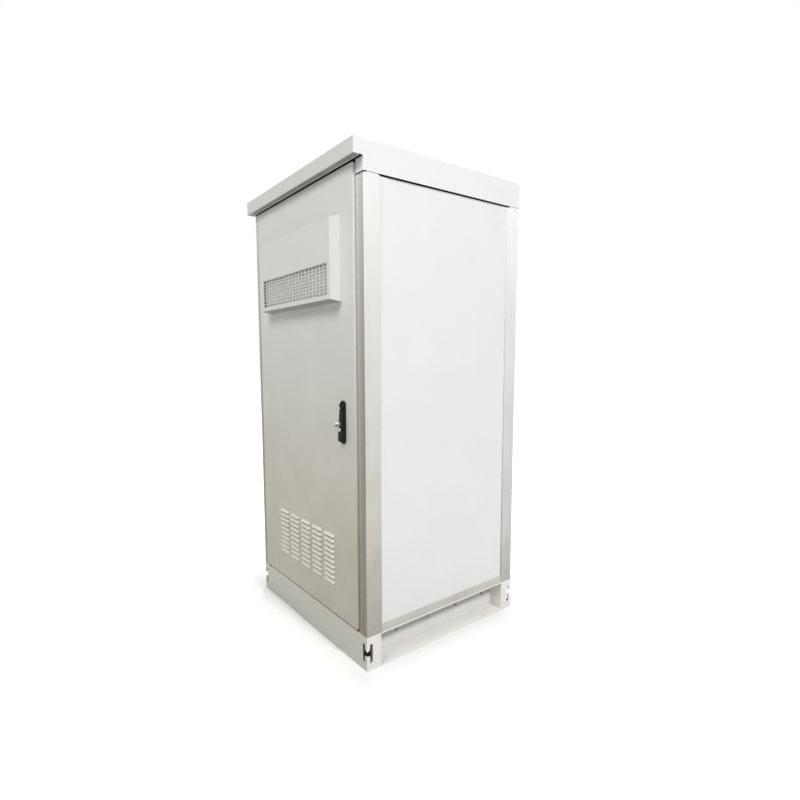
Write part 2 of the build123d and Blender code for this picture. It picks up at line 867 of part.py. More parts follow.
# Stiffening channels across the inside of the skin
stiffener_left = -door_half_width + stiffener_margin
stiffener_right = handle_center_x - stiffener_rod_gap
with BuildPart() as door_stiffeners:
    for level_share in stiffener_level_shares:
        stiffener_level = door_bottom + level_share * door_height
        with BuildSketch(Plane.YZ.offset(stiffener_left)):
            with Locations((door_inner, stiffener_level)):
                Rectangle(stiffener_depth, stiffener_width, align=(Align.MIN, Align.CENTER))
                Rectangle(
                    stiffener_depth - stiffener_sheet,
                    stiffener_width - 2 * stiffener_sheet,
                    align=(Align.MIN, Align.CENTER),
                    mode=Mode.SUBTRACT,
                )
        extrude(amount=stiffener_right - stiffener_left)
write(door_stiffeners.part, "door_stiffeners")

# Pivot bushes in the door's hinge corners
with BuildPart() as hinge_bushes:
    for level, upward in ((door_bottom + door_sheet, 1), (door_top - door_sheet, -1)):
        with BuildSketch(Plane.XY.offset(level)):
            with Locations((hinge_x, hinge_y)):
                Circle(bush_radius)
                Circle(hinge_pin_radius + hinge_pin_fit, mode=Mode.SUBTRACT)
        extrude(amount=upward * bush_height)
write(hinge_bushes.part, "hinge_bushes")

# Lower pivot: a tongue on the plinth with the shoulder that carries the door, and its pin
lower_plate_top = plinth_height + hinge_plate
with BuildPart() as hinge_bracket_lower:
    with BuildSketch(Plane.XY.offset(plinth_height)):
        with Locations((hinge_x, hinge_y)):
            Circle(hinge_shoulder_radius)
            Rectangle(2 * hinge_shoulder_radius, rebate_y - hinge_y, align=(Align.CENTER, Align.MIN))
    extrude(amount=hinge_plate)
    with BuildSketch(Plane.XY.offset(lower_plate_top)):
        with Locations((hinge_x, hinge_y)):
            Circle(hinge_shoulder_radius)
    extrude(amount=door_bottom - clearance - lower_plate_top)
    with BuildSketch(Plane.XY.offset(lower_plate_top)):
        with Locations((hinge_x, hinge_y)):
            Circle(hinge_pin_radius)
    extrude(amount=door_bottom + door_sheet + bush_height - lower_plate_top)
write(hinge_bracket_lower.part, "hinge_bracket_lower")

# Upper pivot: a tongue on the lintel with the pin that hangs into the door
with BuildPart() as hinge_bracket_upper:
    with BuildSketch(Plane.XY.offset(lintel_top)):
        with Locations((hinge_x, hinge_y)):
            Circle(hinge_shoulder_radius)
            Rectangle(
                2 * hinge_shoulder_radius,
                rebate_y - hinge_y + hinge_seat,
                align=(Align.CENTER, Align.MIN),
            )
    extrude(amount=hinge_plate)
    with BuildSketch(Plane.XY.offset(lintel_top)):
        with Locations((hinge_x, hinge_y)):
            Circle(hinge_pin_radius)
    extrude(amount=door_top - door_sheet - bush_height - lintel_top)
write(hinge_bracket_upper.part, "hinge_bracket_upper")

# Vent hood: a folded box that is open to the door, with a window for the grille
hood_front = door_front - hood_depth
hood_slope_share = hood_slope / hood_depth
window_width = hood_width - 2 * window_side
window_level = hood_bottom + window_bottom + window_height / 2
with BuildPart() as vent_hood:
    with BuildSketch(Plane.YZ.offset(hood_center_x)):
        Polygon(
            (door_front, hood_bottom),
            (hood_front, hood_bottom),
            (hood_front, hood_bottom + hood_front_height),
            (door_front, hood_bottom + hood_front_height + hood_slope),
            align=None,
        )
    extrude(amount=hood_width / 2, both=True)
    hood_inner_top = hood_bottom + hood_front_height - hood_sheet
    with BuildSketch(Plane.YZ.offset(hood_center_x)):
        Polygon(
            (door_front + overrun, hood_bottom + hood_sheet),
            (hood_front + hood_sheet, hood_bottom + hood_sheet),
            (hood_front + hood_sheet, hood_inner_top + hood_slope_share * hood_sheet),
            (door_front + overrun, hood_inner_top + hood_slope + hood_slope_share * overrun),
            align=None,
        )
    extrude(amount=hood_width / 2 - hood_sheet, both=True, mode=Mode.SUBTRACT)
    with BuildSketch(facing_front(hood_front)):
        with Locations((hood_center_x, window_level)):
            Rectangle(window_width, window_height)
    extrude(amount=-hood_sheet, mode=Mode.SUBTRACT)
write(vent_hood.part, "vent_hood")

# Perforated grille behind the window
grille_pitch_x = window_width / grille_columns
grille_pitch_z = window_height / grille_rows
with BuildPart() as hood_grille:
    with BuildSketch(facing_front(hood_front + hood_sheet)):
        with Locations((hood_center_x, window_level)):
            Rectangle(window_width + 2 * grille_margin, window_height + 2 * grille_margin)
            with GridLocations(grille_pitch_x, grille_pitch_z, grille_columns, grille_rows):
                Rectangle(
                    grille_pitch_x - grille_bar_x,
                    grille_pitch_z - grille_bar_z,
                    mode=Mode.SUBTRACT,
                )
    extrude(amount=-grille_sheet)
write(hood_grille.part, "hood_grille")

# Coarse mat behind the grille that keeps dust and insects out, standing on the hood's floor
hood_mat_height = window_bottom - hood_sheet + window_height + hood_mat_rise
with BuildPart() as hood_mat:
    with BuildSketch(facing_front(hood_front + hood_sheet + grille_sheet + hood_mat_setback)):
        with Locations((hood_center_x, hood_bottom + hood_sheet)):
            Rectangle(
                hood_width - 2 * (hood_sheet + clearance),
                hood_mat_height,
                align=(Align.CENTER, Align.MIN),
            )
    extrude(amount=-hood_mat_depth)
write(hood_mat.part, "hood_mat")

# Fans: a square frame with a motor spider, and a rotor that turns on the spider's shaft
shaft_length = fan_end_gap + fan_shaft_share * fan_rotor_depth
blade_root = fan_hub_radius - fan_blade_sink
blade_tip = fan_bore_radius - fan_tip_gap
blade_level = (rotor_front + rotor_back) / 2
for fan_side, fan_x in zip(("left", "right"), fan_centers):
    with BuildPart() as fan_frame:
        with BuildSketch(facing_front(door_inner)):
            with Locations((fan_x, fan_level)):
                RectangleRounded(fan_size, fan_size, fan_corner_radius)
                Circle(fan_bore_radius, mode=Mode.SUBTRACT)
        extrude(amount=-fan_depth)
        with BuildSketch(facing_front(spider_front)):
            with Locations((fan_x, fan_level)):
                Circle(fan_hub_radius)
                with PolarLocations(0, fan_strut_count):
                    Rectangle(
                        fan_bore_radius + fan_strut_width / 2,
                        fan_strut_width,
                        align=(Align.MIN, Align.CENTER),
                    )
        extrude(amount=-fan_spider_depth)
        with BuildSketch(facing_front(spider_front)):
            with Locations((fan_x, fan_level)):
                Circle(fan_shaft_radius)
        extrude(amount=shaft_length)
    write(fan_frame.part, f"fan_frame_{fan_side}")

    with BuildPart() as fan_rotor:
        with BuildSketch(facing_front(rotor_back)):
            with Locations((fan_x, fan_level)):
                Circle(fan_hub_radius)
        extrude(amount=fan_rotor_depth)
        for blade in range(fan_blade_count):
            turn = radians(blade * 360 / fan_blade_count)
            outward = (cos(turn), 0, sin(turn))
            for radius, angle in ((blade_root, fan_blade_root_angle), (blade_tip, fan_blade_tip_angle)):
                center = (fan_x + radius * outward[0], blade_level, fan_level + radius * outward[2])
                with BuildSketch(Plane(origin=center, x_dir=(0, 1, 0), z_dir=outward)):
                    Rectangle(fan_blade_chord, fan_blade_thickness, rotation=angle)
            loft()
        with BuildSketch(facing_front(rotor_back)):
            with Locations((fan_x, fan_level)):
                Circle(fan_shaft_radius + fan_shaft_fit)
        extrude(amount=shaft_length, mode=Mode.SUBTRACT)
    write(fan_rotor.part, f"fan_rotor_{fan_side}")

# Finger guards on the inner faces of the fans, stamped as rings and spokes
guard_radius = fan_bore_radius + guard_ring_width
guard_step = (guard_radius - fan_hub_radius) / guard_ring_count
with BuildPart() as fan_guards:
    with BuildSketch(facing_front(fan_back)):
        with Locations(*[(x, fan_level) for x in fan_centers]):
            for ring in range(guard_ring_count):
                ring_radius = guard_radius - ring * guard_step
                Circle(ring_radius)
                Circle(ring_radius - guard_ring_width, mode=Mode.SUBTRACT)
            with PolarLocations(0, fan_strut_count, start_angle=90 / fan_strut_count):
                Rectangle(
                    guard_radius - guard_ring_width / 2,
                    guard_spoke_width,
                    align=(Align.MIN, Align.CENTER),
                )
    extrude(amount=-guard_sheet)
write(fan_guards.part, "fan_guards")

# Intake filter behind the louvres: a folded frame and its mat
filter_back = door_inner + filter_depth
with BuildPart() as filter_frame:
    with BuildSketch(facing_front(door_inner)):
        with Locations((louvre_center_x, louvre_center_z)):
            Rectangle(filter_length, filter_height)
            Rectangle(
                filter_length - 2 * filter_sheet,
                filter_height - 2 * filter_sheet,
                mode=Mode.SUBTRACT,
            )
    extrude(amount=-filter_depth)
    with BuildSketch(facing_front(filter_back)):
        with Locations((louvre_center_x, louvre_center_z)):
            Rectangle(filter_length, filter_height)
            Rectangle(
                filter_length - 2 * filter_flange,
                filter_height - 2 * filter_flange,
                mode=Mode.SUBTRACT,
            )
    extrude(amount=filter_sheet)
write(filter_frame.part, "filter_frame")

with BuildPart() as filter_mat:
    with BuildSketch(facing_front(filter_back - filter_sheet)):
        with Locations((louvre_center_x, louvre_center_z)):
            Rectangle(
                filter_length - 2 * (filter_sheet + clearance),
                filter_height - 2 * (filter_sheet + clearance),
            )
    extrude(amount=filter_mat_depth)
write(filter_mat.part, "filter_mat")

# Swing handle housing with the seat of the spindle
with BuildPart() as handle_housing:
    with BuildSketch(front_face):
        with Locations((handle_center_x, handle_bottom + handle_height / 2)):
            SlotOverall(handle_height, handle_width, rotation=90)
    extrude(amount=handle_depth)
    chamfer(handle_housing.faces().sort_by(Axis.Y)[0].edges(), handle_edge)
    with BuildSketch(facing_front(handle_face)):
        with Locations((handle_center_x, spindle_z)):
            Circle(spindle_head_radius + clearance)
    extrude(amount=-spindle_head_depth, mode=Mode.SUBTRACT)
    with BuildSketch(facing_front(handle_face)):
        with Locations((handle_center_x, spindle_z)):
            Circle(spindle_radius + clearance)
    extrude(amount=-handle_depth, mode=Mode.SUBTRACT)
write(handle_housing.part, "handle_housing")

# Lock spindle: a slotted head for the lever, a shaft through the door and the drum that drives the rods
head_front = handle_face - spindle_head_proud
head_back = handle_face + spindle_head_depth - clearance
slot_floor = lever_pin_y + lever_knuckle_radius + clearance
drum_back = rod_front + rod_depth
with BuildPart() as lock_spindle:
    with BuildSketch(facing_front(head_front)):
        with Locations((handle_center_x, spindle_z)):
            Circle(spindle_head_radius)
    extrude(amount=head_front - head_back)
    with BuildSketch(facing_front(head_front)):
        with Locations((handle_center_x, spindle_z)):
            Rectangle(spindle_slot, 2 * spindle_head_radius)
    extrude(amount=head_front - slot_floor, mode=Mode.SUBTRACT)
    with BuildSketch(facing_front(head_back)):
        with Locations((handle_center_x, spindle_z)):
            Circle(spindle_radius)
    extrude(amount=head_back - drum_back)
    with BuildSketch(facing_front(rod_front)):
        with Locations((handle_center_x, spindle_z)):
            Circle(drum_radius)
    extrude(amount=-rod_depth)
    with BuildSketch(Plane.YZ.offset(handle_center_x)):
        with Locations((lever_pin_y, spindle_z)):
            Circle(lever_pin_radius)
    extrude(amount=spindle_head_radius, both=True, mode=Mode.SUBTRACT)
write(lock_spindle.part, "lock_spindle")

with BuildPart() as lever_pin:
    with BuildSketch(Plane.YZ.offset(handle_center_x)):
        with Locations((lever_pin_y, spindle_z)):
            Circle(lever_pin_radius)
    extrude(amount=spindle_head_radius - lever_pin_radius, both=True)
write(lever_pin.part, "lever_pin")

# Lever: a wedge that grows towards its free end, with finger grooves and a knuckle on the pin
plug_z = spindle_z - plug_drop
button_z = spindle_z - button_drop


def lever_front(z):
    """How far out the lever's sloping face lies at a given height."""
    return lever_back - lever_top_thickness - lever_slope * (lever_top - z)


with BuildPart() as handle_lever:
    with BuildSketch(Plane.YZ.offset(handle_center_x)):
        Polygon(
            (lever_back, lever_top),
            (lever_front(lever_top), lever_top),
            (lever_front(lever_bottom), lever_bottom),
            (lever_back, lever_bottom),
            align=None,
        )
    extrude(amount=lever_width / 2, both=True)
    fillet(handle_lever.edges().filter_by(Axis.Y).group_by(Axis.Z)[0], lever_end_radius)
    chamfer(handle_lever.faces().sort_by(Axis.Y)[0].edges(), lever_edge)
    with BuildSketch(Plane.YZ.offset(handle_center_x)):
        for groove in range(grip_count):
            groove_z = spindle_z - grip_drop - groove * grip_pitch
            with Locations((lever_front(groove_z) - grip_radius + grip_bite, groove_z)):
                Circle(grip_radius)
    extrude(amount=lever_width / 2, both=True, mode=Mode.SUBTRACT)
    with BuildSketch(Plane.YZ.offset(handle_center_x)):
        with Locations((lever_back, lever_top)):
            Rectangle(
                lever_knuckle_radius,
                spindle_z - lever_top,
                align=(Align.MAX, Align.MIN),
            )
        with Locations((lever_pin_y, spindle_z)):
            Circle(lever_knuckle_radius)
    extrude(amount=lever_tongue / 2, both=True)
    with BuildSketch(Plane.YZ.offset(handle_center_x)):
        with Locations((lever_pin_y, spindle_z)):
            Circle(lever_pin_radius + lever_pin_fit)
    extrude(amount=lever_tongue / 2, both=True, mode=Mode.SUBTRACT)
    with BuildSketch(facing_front(lever_back)):
        with Locations((handle_center_x, plug_z)):
            Circle(plug_radius + clearance)
        with Locations((handle_center_x, button_z)):
            Circle(button_radius + clearance)
    extrude(amount=lever_bottom_thickness, mode=Mode.SUBTRACT)
write(handle_lever.part, "handle_lever")

# Lock plug with the key in its keyway
plug_front = lever_front(plug_z) - plug_proud
with BuildPart() as lock_plug:
    with BuildSketch(facing_front(plug_front)):
        with Locations((handle_center_x, plug_z)):
            Circle(plug_radius)
    extrude(amount=plug_front - lever_back)
    with BuildSketch(facing_front(plug_front)):
        with Locations((handle_center_x, plug_z)):
            Rectangle(key_sheet, keyway_length)
    extrude(amount=-keyway_depth, mode=Mode.SUBTRACT)
write(lock_plug.part, "lock_plug")

bow_back = plug_front - key_shank_length
with BuildPart() as door_key:
    with BuildSketch(Plane.YZ.offset(handle_center_x)):
        with Locations((bow_back, plug_z)):
            Rectangle(
                key_shank_length + keyway_depth,
                key_shank_width,
                align=(Align.MIN, Align.CENTER),
            )
        with Locations((bow_back - key_bow_length / 2, plug_z)):
            Ellipse(key_bow_length / 2 + key_sheet / 2, key_bow_width / 2)
        with Locations((bow_back - key_bow_length / 2 - key_hole_radius, plug_z)):
            Circle(key_hole_radius, mode=Mode.SUBTRACT)
    extrude(amount=key_sheet / 2, both=True)
write(door_key.part, "door_key")

# Release button below the plug
button_front = lever_front(button_z) - button_proud
with BuildPart() as release_button:
    with BuildSketch(facing_front(button_front)):
        with Locations((handle_center_x, button_z)):
            Circle(button_radius)
    extrude(amount=-button_length - button_proud)
    chamfer(release_button.faces().sort_by(Axis.Y)[0].edges(), button_edge)
write(release_button.part, "release_button")

# Locking rods on both sides of the drum, their guides, the case over the drum and the keepers on the lip
upper_rod_x = handle_center_x + rod_offset
lower_rod_x = handle_center_x - rod_offset
sill_top = lip_bottom + post_sheet
upper_rod_tip = post_top - keeper_height - rod_tip_gap
lower_rod_tip = sill_top + keeper_height + rod_tip_gap
rods = {
    "upper_rod": (upper_rod_x, spindle_z - rod_overlap, upper_rod_tip),
    "lower_rod": (lower_rod_x, lower_rod_tip, spindle_z + rod_overlap),
}
for rod_name, (rod_x, rod_low, rod_high) in rods.items():
    with BuildPart() as rod:
        with BuildSketch(Plane.XY.offset(rod_low)):
            with Locations((rod_x, rod_front)):
                Rectangle(rod_width, rod_depth, align=(Align.CENTER, Align.MIN))
        extrude(amount=rod_high - rod_low)
    write(rod.part, rod_name)

guide_outer = rod_width + 2 * (clearance + guide_wall)
guide_depth = rod_front + rod_depth + clearance + guide_wall - door_inner
with BuildPart() as rod_guides:
    for rod_x, rod_tip in ((upper_rod_x, upper_rod_tip), (lower_rod_x, lower_rod_tip)):
        for level_share in guide_level_shares:
            guide_level = spindle_z + level_share * (rod_tip - spindle_z)
            with BuildSketch(Plane.XY.offset(guide_level)):
                with Locations((rod_x, door_inner)):
                    Rectangle(guide_outer, guide_depth, align=(Align.CENTER, Align.MIN))
                with Locations((rod_x, rod_front - clearance)):
                    Rectangle(
                        rod_width + 2 * clearance,
                        rod_depth + 2 * clearance,
                        align=(Align.CENTER, Align.MIN),
                        mode=Mode.SUBTRACT,
                    )
            extrude(amount=guide_height)
write(rod_guides.part, "rod_guides")

case_half_width = rod_offset + rod_width / 2 + case_gap
case_depth = rod_front + rod_depth + case_gap - door_inner
with BuildPart() as lock_case:
    with BuildSketch(Plane.XY.offset(spindle_z - case_height / 2)):
        with Locations((handle_center_x, door_inner)):
            Rectangle(
                2 * (case_half_width + case_sheet),
                case_depth + case_sheet,
                align=(Align.CENTER, Align.MIN),
            )
            Rectangle(
                2 * case_half_width,
                case_depth,
                align=(Align.CENTER, Align.MIN),
                mode=Mode.SUBTRACT,
            )
    extrude(amount=case_height)
write(lock_case.part, "lock_case")

with BuildPart() as lock_keepers:
    for keeper_x, keeper_low in ((upper_rod_x, post_top - keeper_height), (lower_rod_x, sill_top)):
        with BuildSketch(Plane.XY.offset(keeper_low)):
            with Locations((keeper_x, rod_front - keeper_gap)):
                Rectangle(keeper_length, keeper_sheet, align=(Align.CENTER, Align.MAX))
        extrude(amount=keeper_height)
write(lock_keepers.part, "lock_keepers")
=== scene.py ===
"""Finishes, small fittings, light and camera for an outdoor equipment cabinet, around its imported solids."""
from math import cos, radians, sin

import bmesh
import bpy
from mathutils import Matrix, Vector


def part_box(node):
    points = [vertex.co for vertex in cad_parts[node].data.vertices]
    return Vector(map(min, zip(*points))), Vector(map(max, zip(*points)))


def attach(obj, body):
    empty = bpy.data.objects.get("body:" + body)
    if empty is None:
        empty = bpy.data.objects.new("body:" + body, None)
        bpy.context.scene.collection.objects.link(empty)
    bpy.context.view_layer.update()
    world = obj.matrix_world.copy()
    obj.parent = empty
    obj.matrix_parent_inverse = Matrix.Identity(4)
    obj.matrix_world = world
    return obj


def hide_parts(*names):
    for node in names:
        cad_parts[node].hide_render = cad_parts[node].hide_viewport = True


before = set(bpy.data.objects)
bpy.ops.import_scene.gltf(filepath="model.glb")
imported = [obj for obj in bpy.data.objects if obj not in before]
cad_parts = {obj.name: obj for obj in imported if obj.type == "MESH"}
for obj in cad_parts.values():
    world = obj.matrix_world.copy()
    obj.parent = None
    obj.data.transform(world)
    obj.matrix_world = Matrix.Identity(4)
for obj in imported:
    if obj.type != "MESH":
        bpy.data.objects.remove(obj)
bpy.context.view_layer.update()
scene = bpy.context.scene
scene.view_settings.view_transform = "Standard"


# Plinth: heavy sheet, folded into beams with cut-outs at the corner bends and channels at the sides.
# It is painted a matt light grey with a little dust and scuffs close to the ground. The beam fronts
# are painted darker as shade; the channels carry painted shade on faces that look down and a painted
# shadow just below their top flanges.
def new_group(name, inputs, outputs):
    """A shader node group with its named sockets, and its input and output nodes."""
    tree = bpy.data.node_groups.new(name, "ShaderNodeTree")
    for label, kind, value in inputs:
        socket = tree.interface.new_socket(label, in_out="INPUT", socket_type=kind)
        socket.default_value = value
    for label, kind in outputs:
        tree.interface.new_socket(label, in_out="OUTPUT", socket_type=kind)
    return tree, tree.nodes.new("NodeGroupInput"), tree.nodes.new("NodeGroupOutput")


def add_node(tree, kind, settings=None, values=None):
    """A node with its settings and its unlinked values."""
    node = tree.nodes.new(kind)
    for label, value in (settings or {}).items():
        setattr(node, label, value)
    for label, value in (values or {}).items():
        node.inputs[label].default_value = value
    return node


def chain_maths(tree, operation, first, second, clamp=False):
    """A math node fed by two sockets or numbers; gives its output."""
    node = add_node(tree, "ShaderNodeMath", {"operation": operation, "use_clamp": clamp})
    for place, source in enumerate((first, second)):
        if isinstance(source, (int, float)):
            node.inputs[place].default_value = source
        else:
            tree.links.new(source, node.inputs[place])
    return node.outputs[0]


def mix_colours(tree, amount, first, second, blend="MIX"):
    """A colour mix fed by sockets or colours; gives its output."""
    node = add_node(tree, "ShaderNodeMix", {"data_type": "RGBA", "blend_type": blend})
    for place, source in ((0, amount), (6, first), (7, second)):
        if isinstance(source, (int, float, tuple)):
            node.inputs[place].default_value = source
        else:
            tree.links.new(source, node.inputs[place])
    return node.outputs[2]


def object_noise(tree, scale, detail, stretch=(1, 1, 1)):
    """Noise in the object's own coordinates, stretched along the axes."""
    place = add_node(tree, "ShaderNodeTexCoord")
    mapping = add_node(tree, "ShaderNodeMapping", values={"Scale": stretch})
    noise = add_node(tree, "ShaderNodeTexNoise", values={"Scale": scale, "Detail": detail})
    tree.links.new(place.outputs["Object"], mapping.inputs["Vector"])
    tree.links.new(mapping.outputs[0], noise.inputs["Vector"])
    return noise.outputs["Fac"]


def ramp_between(tree, source, low, high, start=0.0, end=1.0):
    """A clamped straight ramp of a value, its ends numbers or sockets; gives its output."""
    node = add_node(tree, "ShaderNodeMapRange")
    ends = {"Value": source, "From Min": low, "From Max": high, "To Min": start, "To Max": end}
    for label, value in ends.items():
        if isinstance(value, (int, float)):
            node.inputs[label].default_value = value
        else:
            tree.links.new(value, node.inputs[label])
    return node.outputs[0]


# Sprayed coat: slow drifts of tone, and the fine peel of the dried paint
coat_grain, coat_in, coat_out = new_group(
    "coat_grain",
    (
        ("Colour", "NodeSocketColor", (0.6, 0.6, 0.57, 1)),
        ("Drift", "NodeSocketFloat", 0.06),
        ("Base roughness", "NodeSocketFloat", 0.45),
    ),
    (
        ("Colour", "NodeSocketColor"),
        ("Roughness", "NodeSocketFloat"),
        ("Height", "NodeSocketFloat"),
    ),
)
drift = object_noise(coat_grain, 2.6, 4)
drift_mask = ramp_between(coat_grain, drift, 0.3, 0.7)
drift_amount = chain_maths(coat_grain, "MULTIPLY", drift_mask, coat_in.outputs["Drift"])
coat_colour = mix_colours(
    coat_grain, drift_amount, coat_in.outputs["Colour"], (0.30, 0.28, 0.24, 1)
)
coat_grain.links.new(coat_colour, coat_out.inputs["Colour"])
rough_drift = ramp_between(coat_grain, object_noise(coat_grain, 9, 3), 0.3, 0.7, -0.05, 0.07)
coat_rough = chain_maths(coat_grain, "ADD", rough_drift, coat_in.outputs["Base roughness"])
coat_grain.links.new(coat_rough, coat_out.inputs["Roughness"])
coat_grain.links.new(object_noise(coat_grain, 420, 2), coat_out.inputs["Height"])

# Rubbed edges: a mask along the folds and cut edges, broken up by noise
edge_wear, wear_in, wear_out = new_group(
    "edge_wear",
    (
        ("Colour", "NodeSocketColor", (0.6, 0.6, 0.57, 1)),
        ("Edge colour", "NodeSocketColor", (0.8, 0.8, 0.78, 1)),
        ("Amount", "NodeSocketFloat", 0.5),
    ),
    (("Colour", "NodeSocketColor"), ("Mask", "NodeSocketFloat")),
)
rounded = add_node(edge_wear, "ShaderNodeBevel", {"samples": 4}, {"Radius": 0.004})
facing = add_node(edge_wear, "ShaderNodeNewGeometry")
turned = add_node(edge_wear, "ShaderNodeVectorMath", {"operation": "DOT_PRODUCT"})
edge_wear.links.new(rounded.outputs[0], turned.inputs[0])
edge_wear.links.new(facing.outputs["Normal"], turned.inputs[1])
edge_mask = ramp_between(edge_wear, turned.outputs["Value"], 0.985, 0.80)
edge_break = ramp_between(edge_wear, object_noise(edge_wear, 30, 4), 0.35, 0.65)
edge_rubbed = chain_maths(edge_wear, "MULTIPLY", edge_mask, edge_break)
edge_amount = chain_maths(edge_wear, "MULTIPLY", edge_rubbed, wear_in.outputs["Amount"], True)
edge_colour = mix_colours(
    edge_wear, edge_amount, wear_in.outputs["Colour"], wear_in.outputs["Edge colour"]
)
edge_wear.links.new(edge_colour, wear_out.inputs["Colour"])
edge_wear.links.new(edge_amount, wear_out.inputs["Mask"])

# Darkening towards the ground: strongest at the ground, thinning upwards in soft patches and small specks.
# It is dust on some pieces, and painted shade and a painted reflection of the floor on others
ground_dirt_and_shade, low_dark_in, low_dark_out = new_group(
    "ground_dirt_and_shade",
    (
        ("Colour", "NodeSocketColor", (0.6, 0.6, 0.57, 1)),
        ("Dirt and shade colour", "NodeSocketColor", (0.27, 0.24, 0.19, 1)),
        ("Reach", "NodeSocketFloat", 0.5),
        ("Full share", "NodeSocketFloat", 0.0),
        ("Amount", "NodeSocketFloat", 0.3),
        ("Specks", "NodeSocketFloat", 0.3),
    ),
    (("Colour", "NodeSocketColor"), ("Mask", "NodeSocketFloat")),
)
low_dark_place = add_node(ground_dirt_and_shade, "ShaderNodeTexCoord")
low_dark_axes = add_node(ground_dirt_and_shade, "ShaderNodeSeparateXYZ")
ground_dirt_and_shade.links.new(low_dark_place.outputs["Object"], low_dark_axes.inputs[0])
low_dark_level = chain_maths(
    ground_dirt_and_shade, "DIVIDE", low_dark_axes.outputs["Z"], low_dark_in.outputs["Reach"]
)
low_dark_fade = ramp_between(ground_dirt_and_shade, low_dark_level, low_dark_in.outputs["Full share"], 1.0, 1.0, 0.0)
low_dark_patch = ramp_between(ground_dirt_and_shade, object_noise(ground_dirt_and_shade, 5, 4), 0.3, 0.75, 0.75, 1.0)
low_dark_film = chain_maths(ground_dirt_and_shade, "MULTIPLY", low_dark_fade, low_dark_patch)
low_dark_film = chain_maths(ground_dirt_and_shade, "MULTIPLY", low_dark_film, low_dark_in.outputs["Amount"])
speck_mask = ramp_between(ground_dirt_and_shade, object_noise(ground_dirt_and_shade, 60, 2), 0.70, 0.76)
speck_film = chain_maths(ground_dirt_and_shade, "MULTIPLY", speck_mask, low_dark_in.outputs["Specks"])
speck_film = chain_maths(ground_dirt_and_shade, "MULTIPLY", speck_film, low_dark_fade)
low_dark_amount = chain_maths(ground_dirt_and_shade, "MAXIMUM", low_dark_film, speck_film, True)
low_dark_colour = mix_colours(
    ground_dirt_and_shade, low_dark_amount, low_dark_in.outputs["Colour"], low_dark_in.outputs["Dirt and shade colour"]
)
ground_dirt_and_shade.links.new(low_dark_colour, low_dark_out.inputs["Colour"])
ground_dirt_and_shade.links.new(low_dark_amount, low_dark_out.inputs["Mask"])

# Front shade: painted shade on the faces that look forward, set by level and towards the corners
front_painted_shade, front_shade_in, front_shade_out = new_group(
    "front_painted_shade",
    (
        ("Colour", "NodeSocketColor", (0.6, 0.6, 0.57, 1)),
        ("Front shade colour", "NodeSocketColor", (0.22, 0.205, 0.165, 1)),
        ("Face", "NodeSocketFloat", -0.399),
        ("Low amount", "NodeSocketFloat", 0.0),
        ("High amount", "NodeSocketFloat", 0.0),
        ("Across", "NodeSocketFloat", 0.0),
    ),
    (("Colour", "NodeSocketColor"), ("Mask", "NodeSocketFloat")),
)
front_shade_place = add_node(front_painted_shade, "ShaderNodeTexCoord")
front_shade_axes = add_node(front_painted_shade, "ShaderNodeSeparateXYZ")
front_painted_shade.links.new(front_shade_place.outputs["Object"], front_shade_axes.inputs[0])
front_shade_behind = chain_maths(
    front_painted_shade, "SUBTRACT", front_shade_axes.outputs["Y"], front_shade_in.outputs["Face"]
)
front_shade_faces = ramp_between(front_painted_shade, front_shade_behind, 0.0, 0.0005, 1.0, 0.0)
front_shade_foot, front_shade_head = 0.1, 1.7
front_shade_amounts = front_shade_in.outputs["Low amount"], front_shade_in.outputs["High amount"]
front_shade_level = ramp_between(
    front_painted_shade, front_shade_axes.outputs["Z"], front_shade_foot, front_shade_head, *front_shade_amounts
)
front_shade_reach = chain_maths(front_painted_shade, "ABSOLUTE", front_shade_axes.outputs["X"], 0.0)
front_shade_inner, front_shade_corner = 0.360, 0.395
front_shade_across = ramp_between(front_painted_shade, front_shade_reach, front_shade_inner, front_shade_corner, -0.5, 0.5)
front_shade_across = chain_maths(front_painted_shade, "MULTIPLY", front_shade_across, front_shade_in.outputs["Across"])
front_shade_across = chain_maths(front_painted_shade, "ADD", front_shade_across, 1.0)
front_shade_mask = chain_maths(front_painted_shade, "MULTIPLY", front_shade_faces, front_shade_level)
front_shade_mask = chain_maths(front_painted_shade, "MULTIPLY", front_shade_mask, front_shade_across, True)
front_shade_colour = mix_colours(
    front_painted_shade, front_shade_mask, front_shade_in.outputs["Colour"], front_shade_in.outputs["Front shade colour"]
)
front_painted_shade.links.new(front_shade_colour, front_shade_out.inputs["Colour"])
front_painted_shade.links.new(front_shade_mask, front_shade_out.inputs["Mask"])

# Underside shade: painted shade on the faces that look down
underside_painted_shade, under_shade_in, under_shade_out = new_group(
    "underside_painted_shade",
    (
        ("Colour", "NodeSocketColor", (0.6, 0.6, 0.57, 1)),
        ("Underside shade colour", "NodeSocketColor", (0.20, 0.195, 0.165, 1)),
        ("Amount", "NodeSocketFloat", 0.8),
    ),
    (("Colour", "NodeSocketColor"), ("Mask", "NodeSocketFloat")),
)
under_shade_place = add_node(underside_painted_shade, "ShaderNodeTexCoord")
under_shade_axes = add_node(underside_painted_shade, "ShaderNodeSeparateXYZ")
underside_painted_shade.links.new(under_shade_place.outputs["Normal"], under_shade_axes.inputs[0])
under_shade_down = ramp_between(underside_painted_shade, under_shade_axes.outputs["Z"], -0.90, -0.40, 1.0, 0.0)
under_shade_patch = ramp_between(underside_painted_shade, object_noise(underside_painted_shade, 18, 3), 0.3, 0.7, 0.85, 1.0)
under_shade_mask = chain_maths(underside_painted_shade, "MULTIPLY", under_shade_down, under_shade_patch)
under_shade_mask = chain_maths(underside_painted_shade, "MULTIPLY", under_shade_mask, under_shade_in.outputs["Amount"], True)
under_shade_colour = mix_colours(
    underside_painted_shade, under_shade_mask, under_shade_in.outputs["Colour"], under_shade_in.outputs["Underside shade colour"]
)
underside_painted_shade.links.new(under_shade_colour, under_shade_out.inputs["Colour"])
underside_painted_shade.links.new(under_shade_mask, under_shade_out.inputs["Mask"])
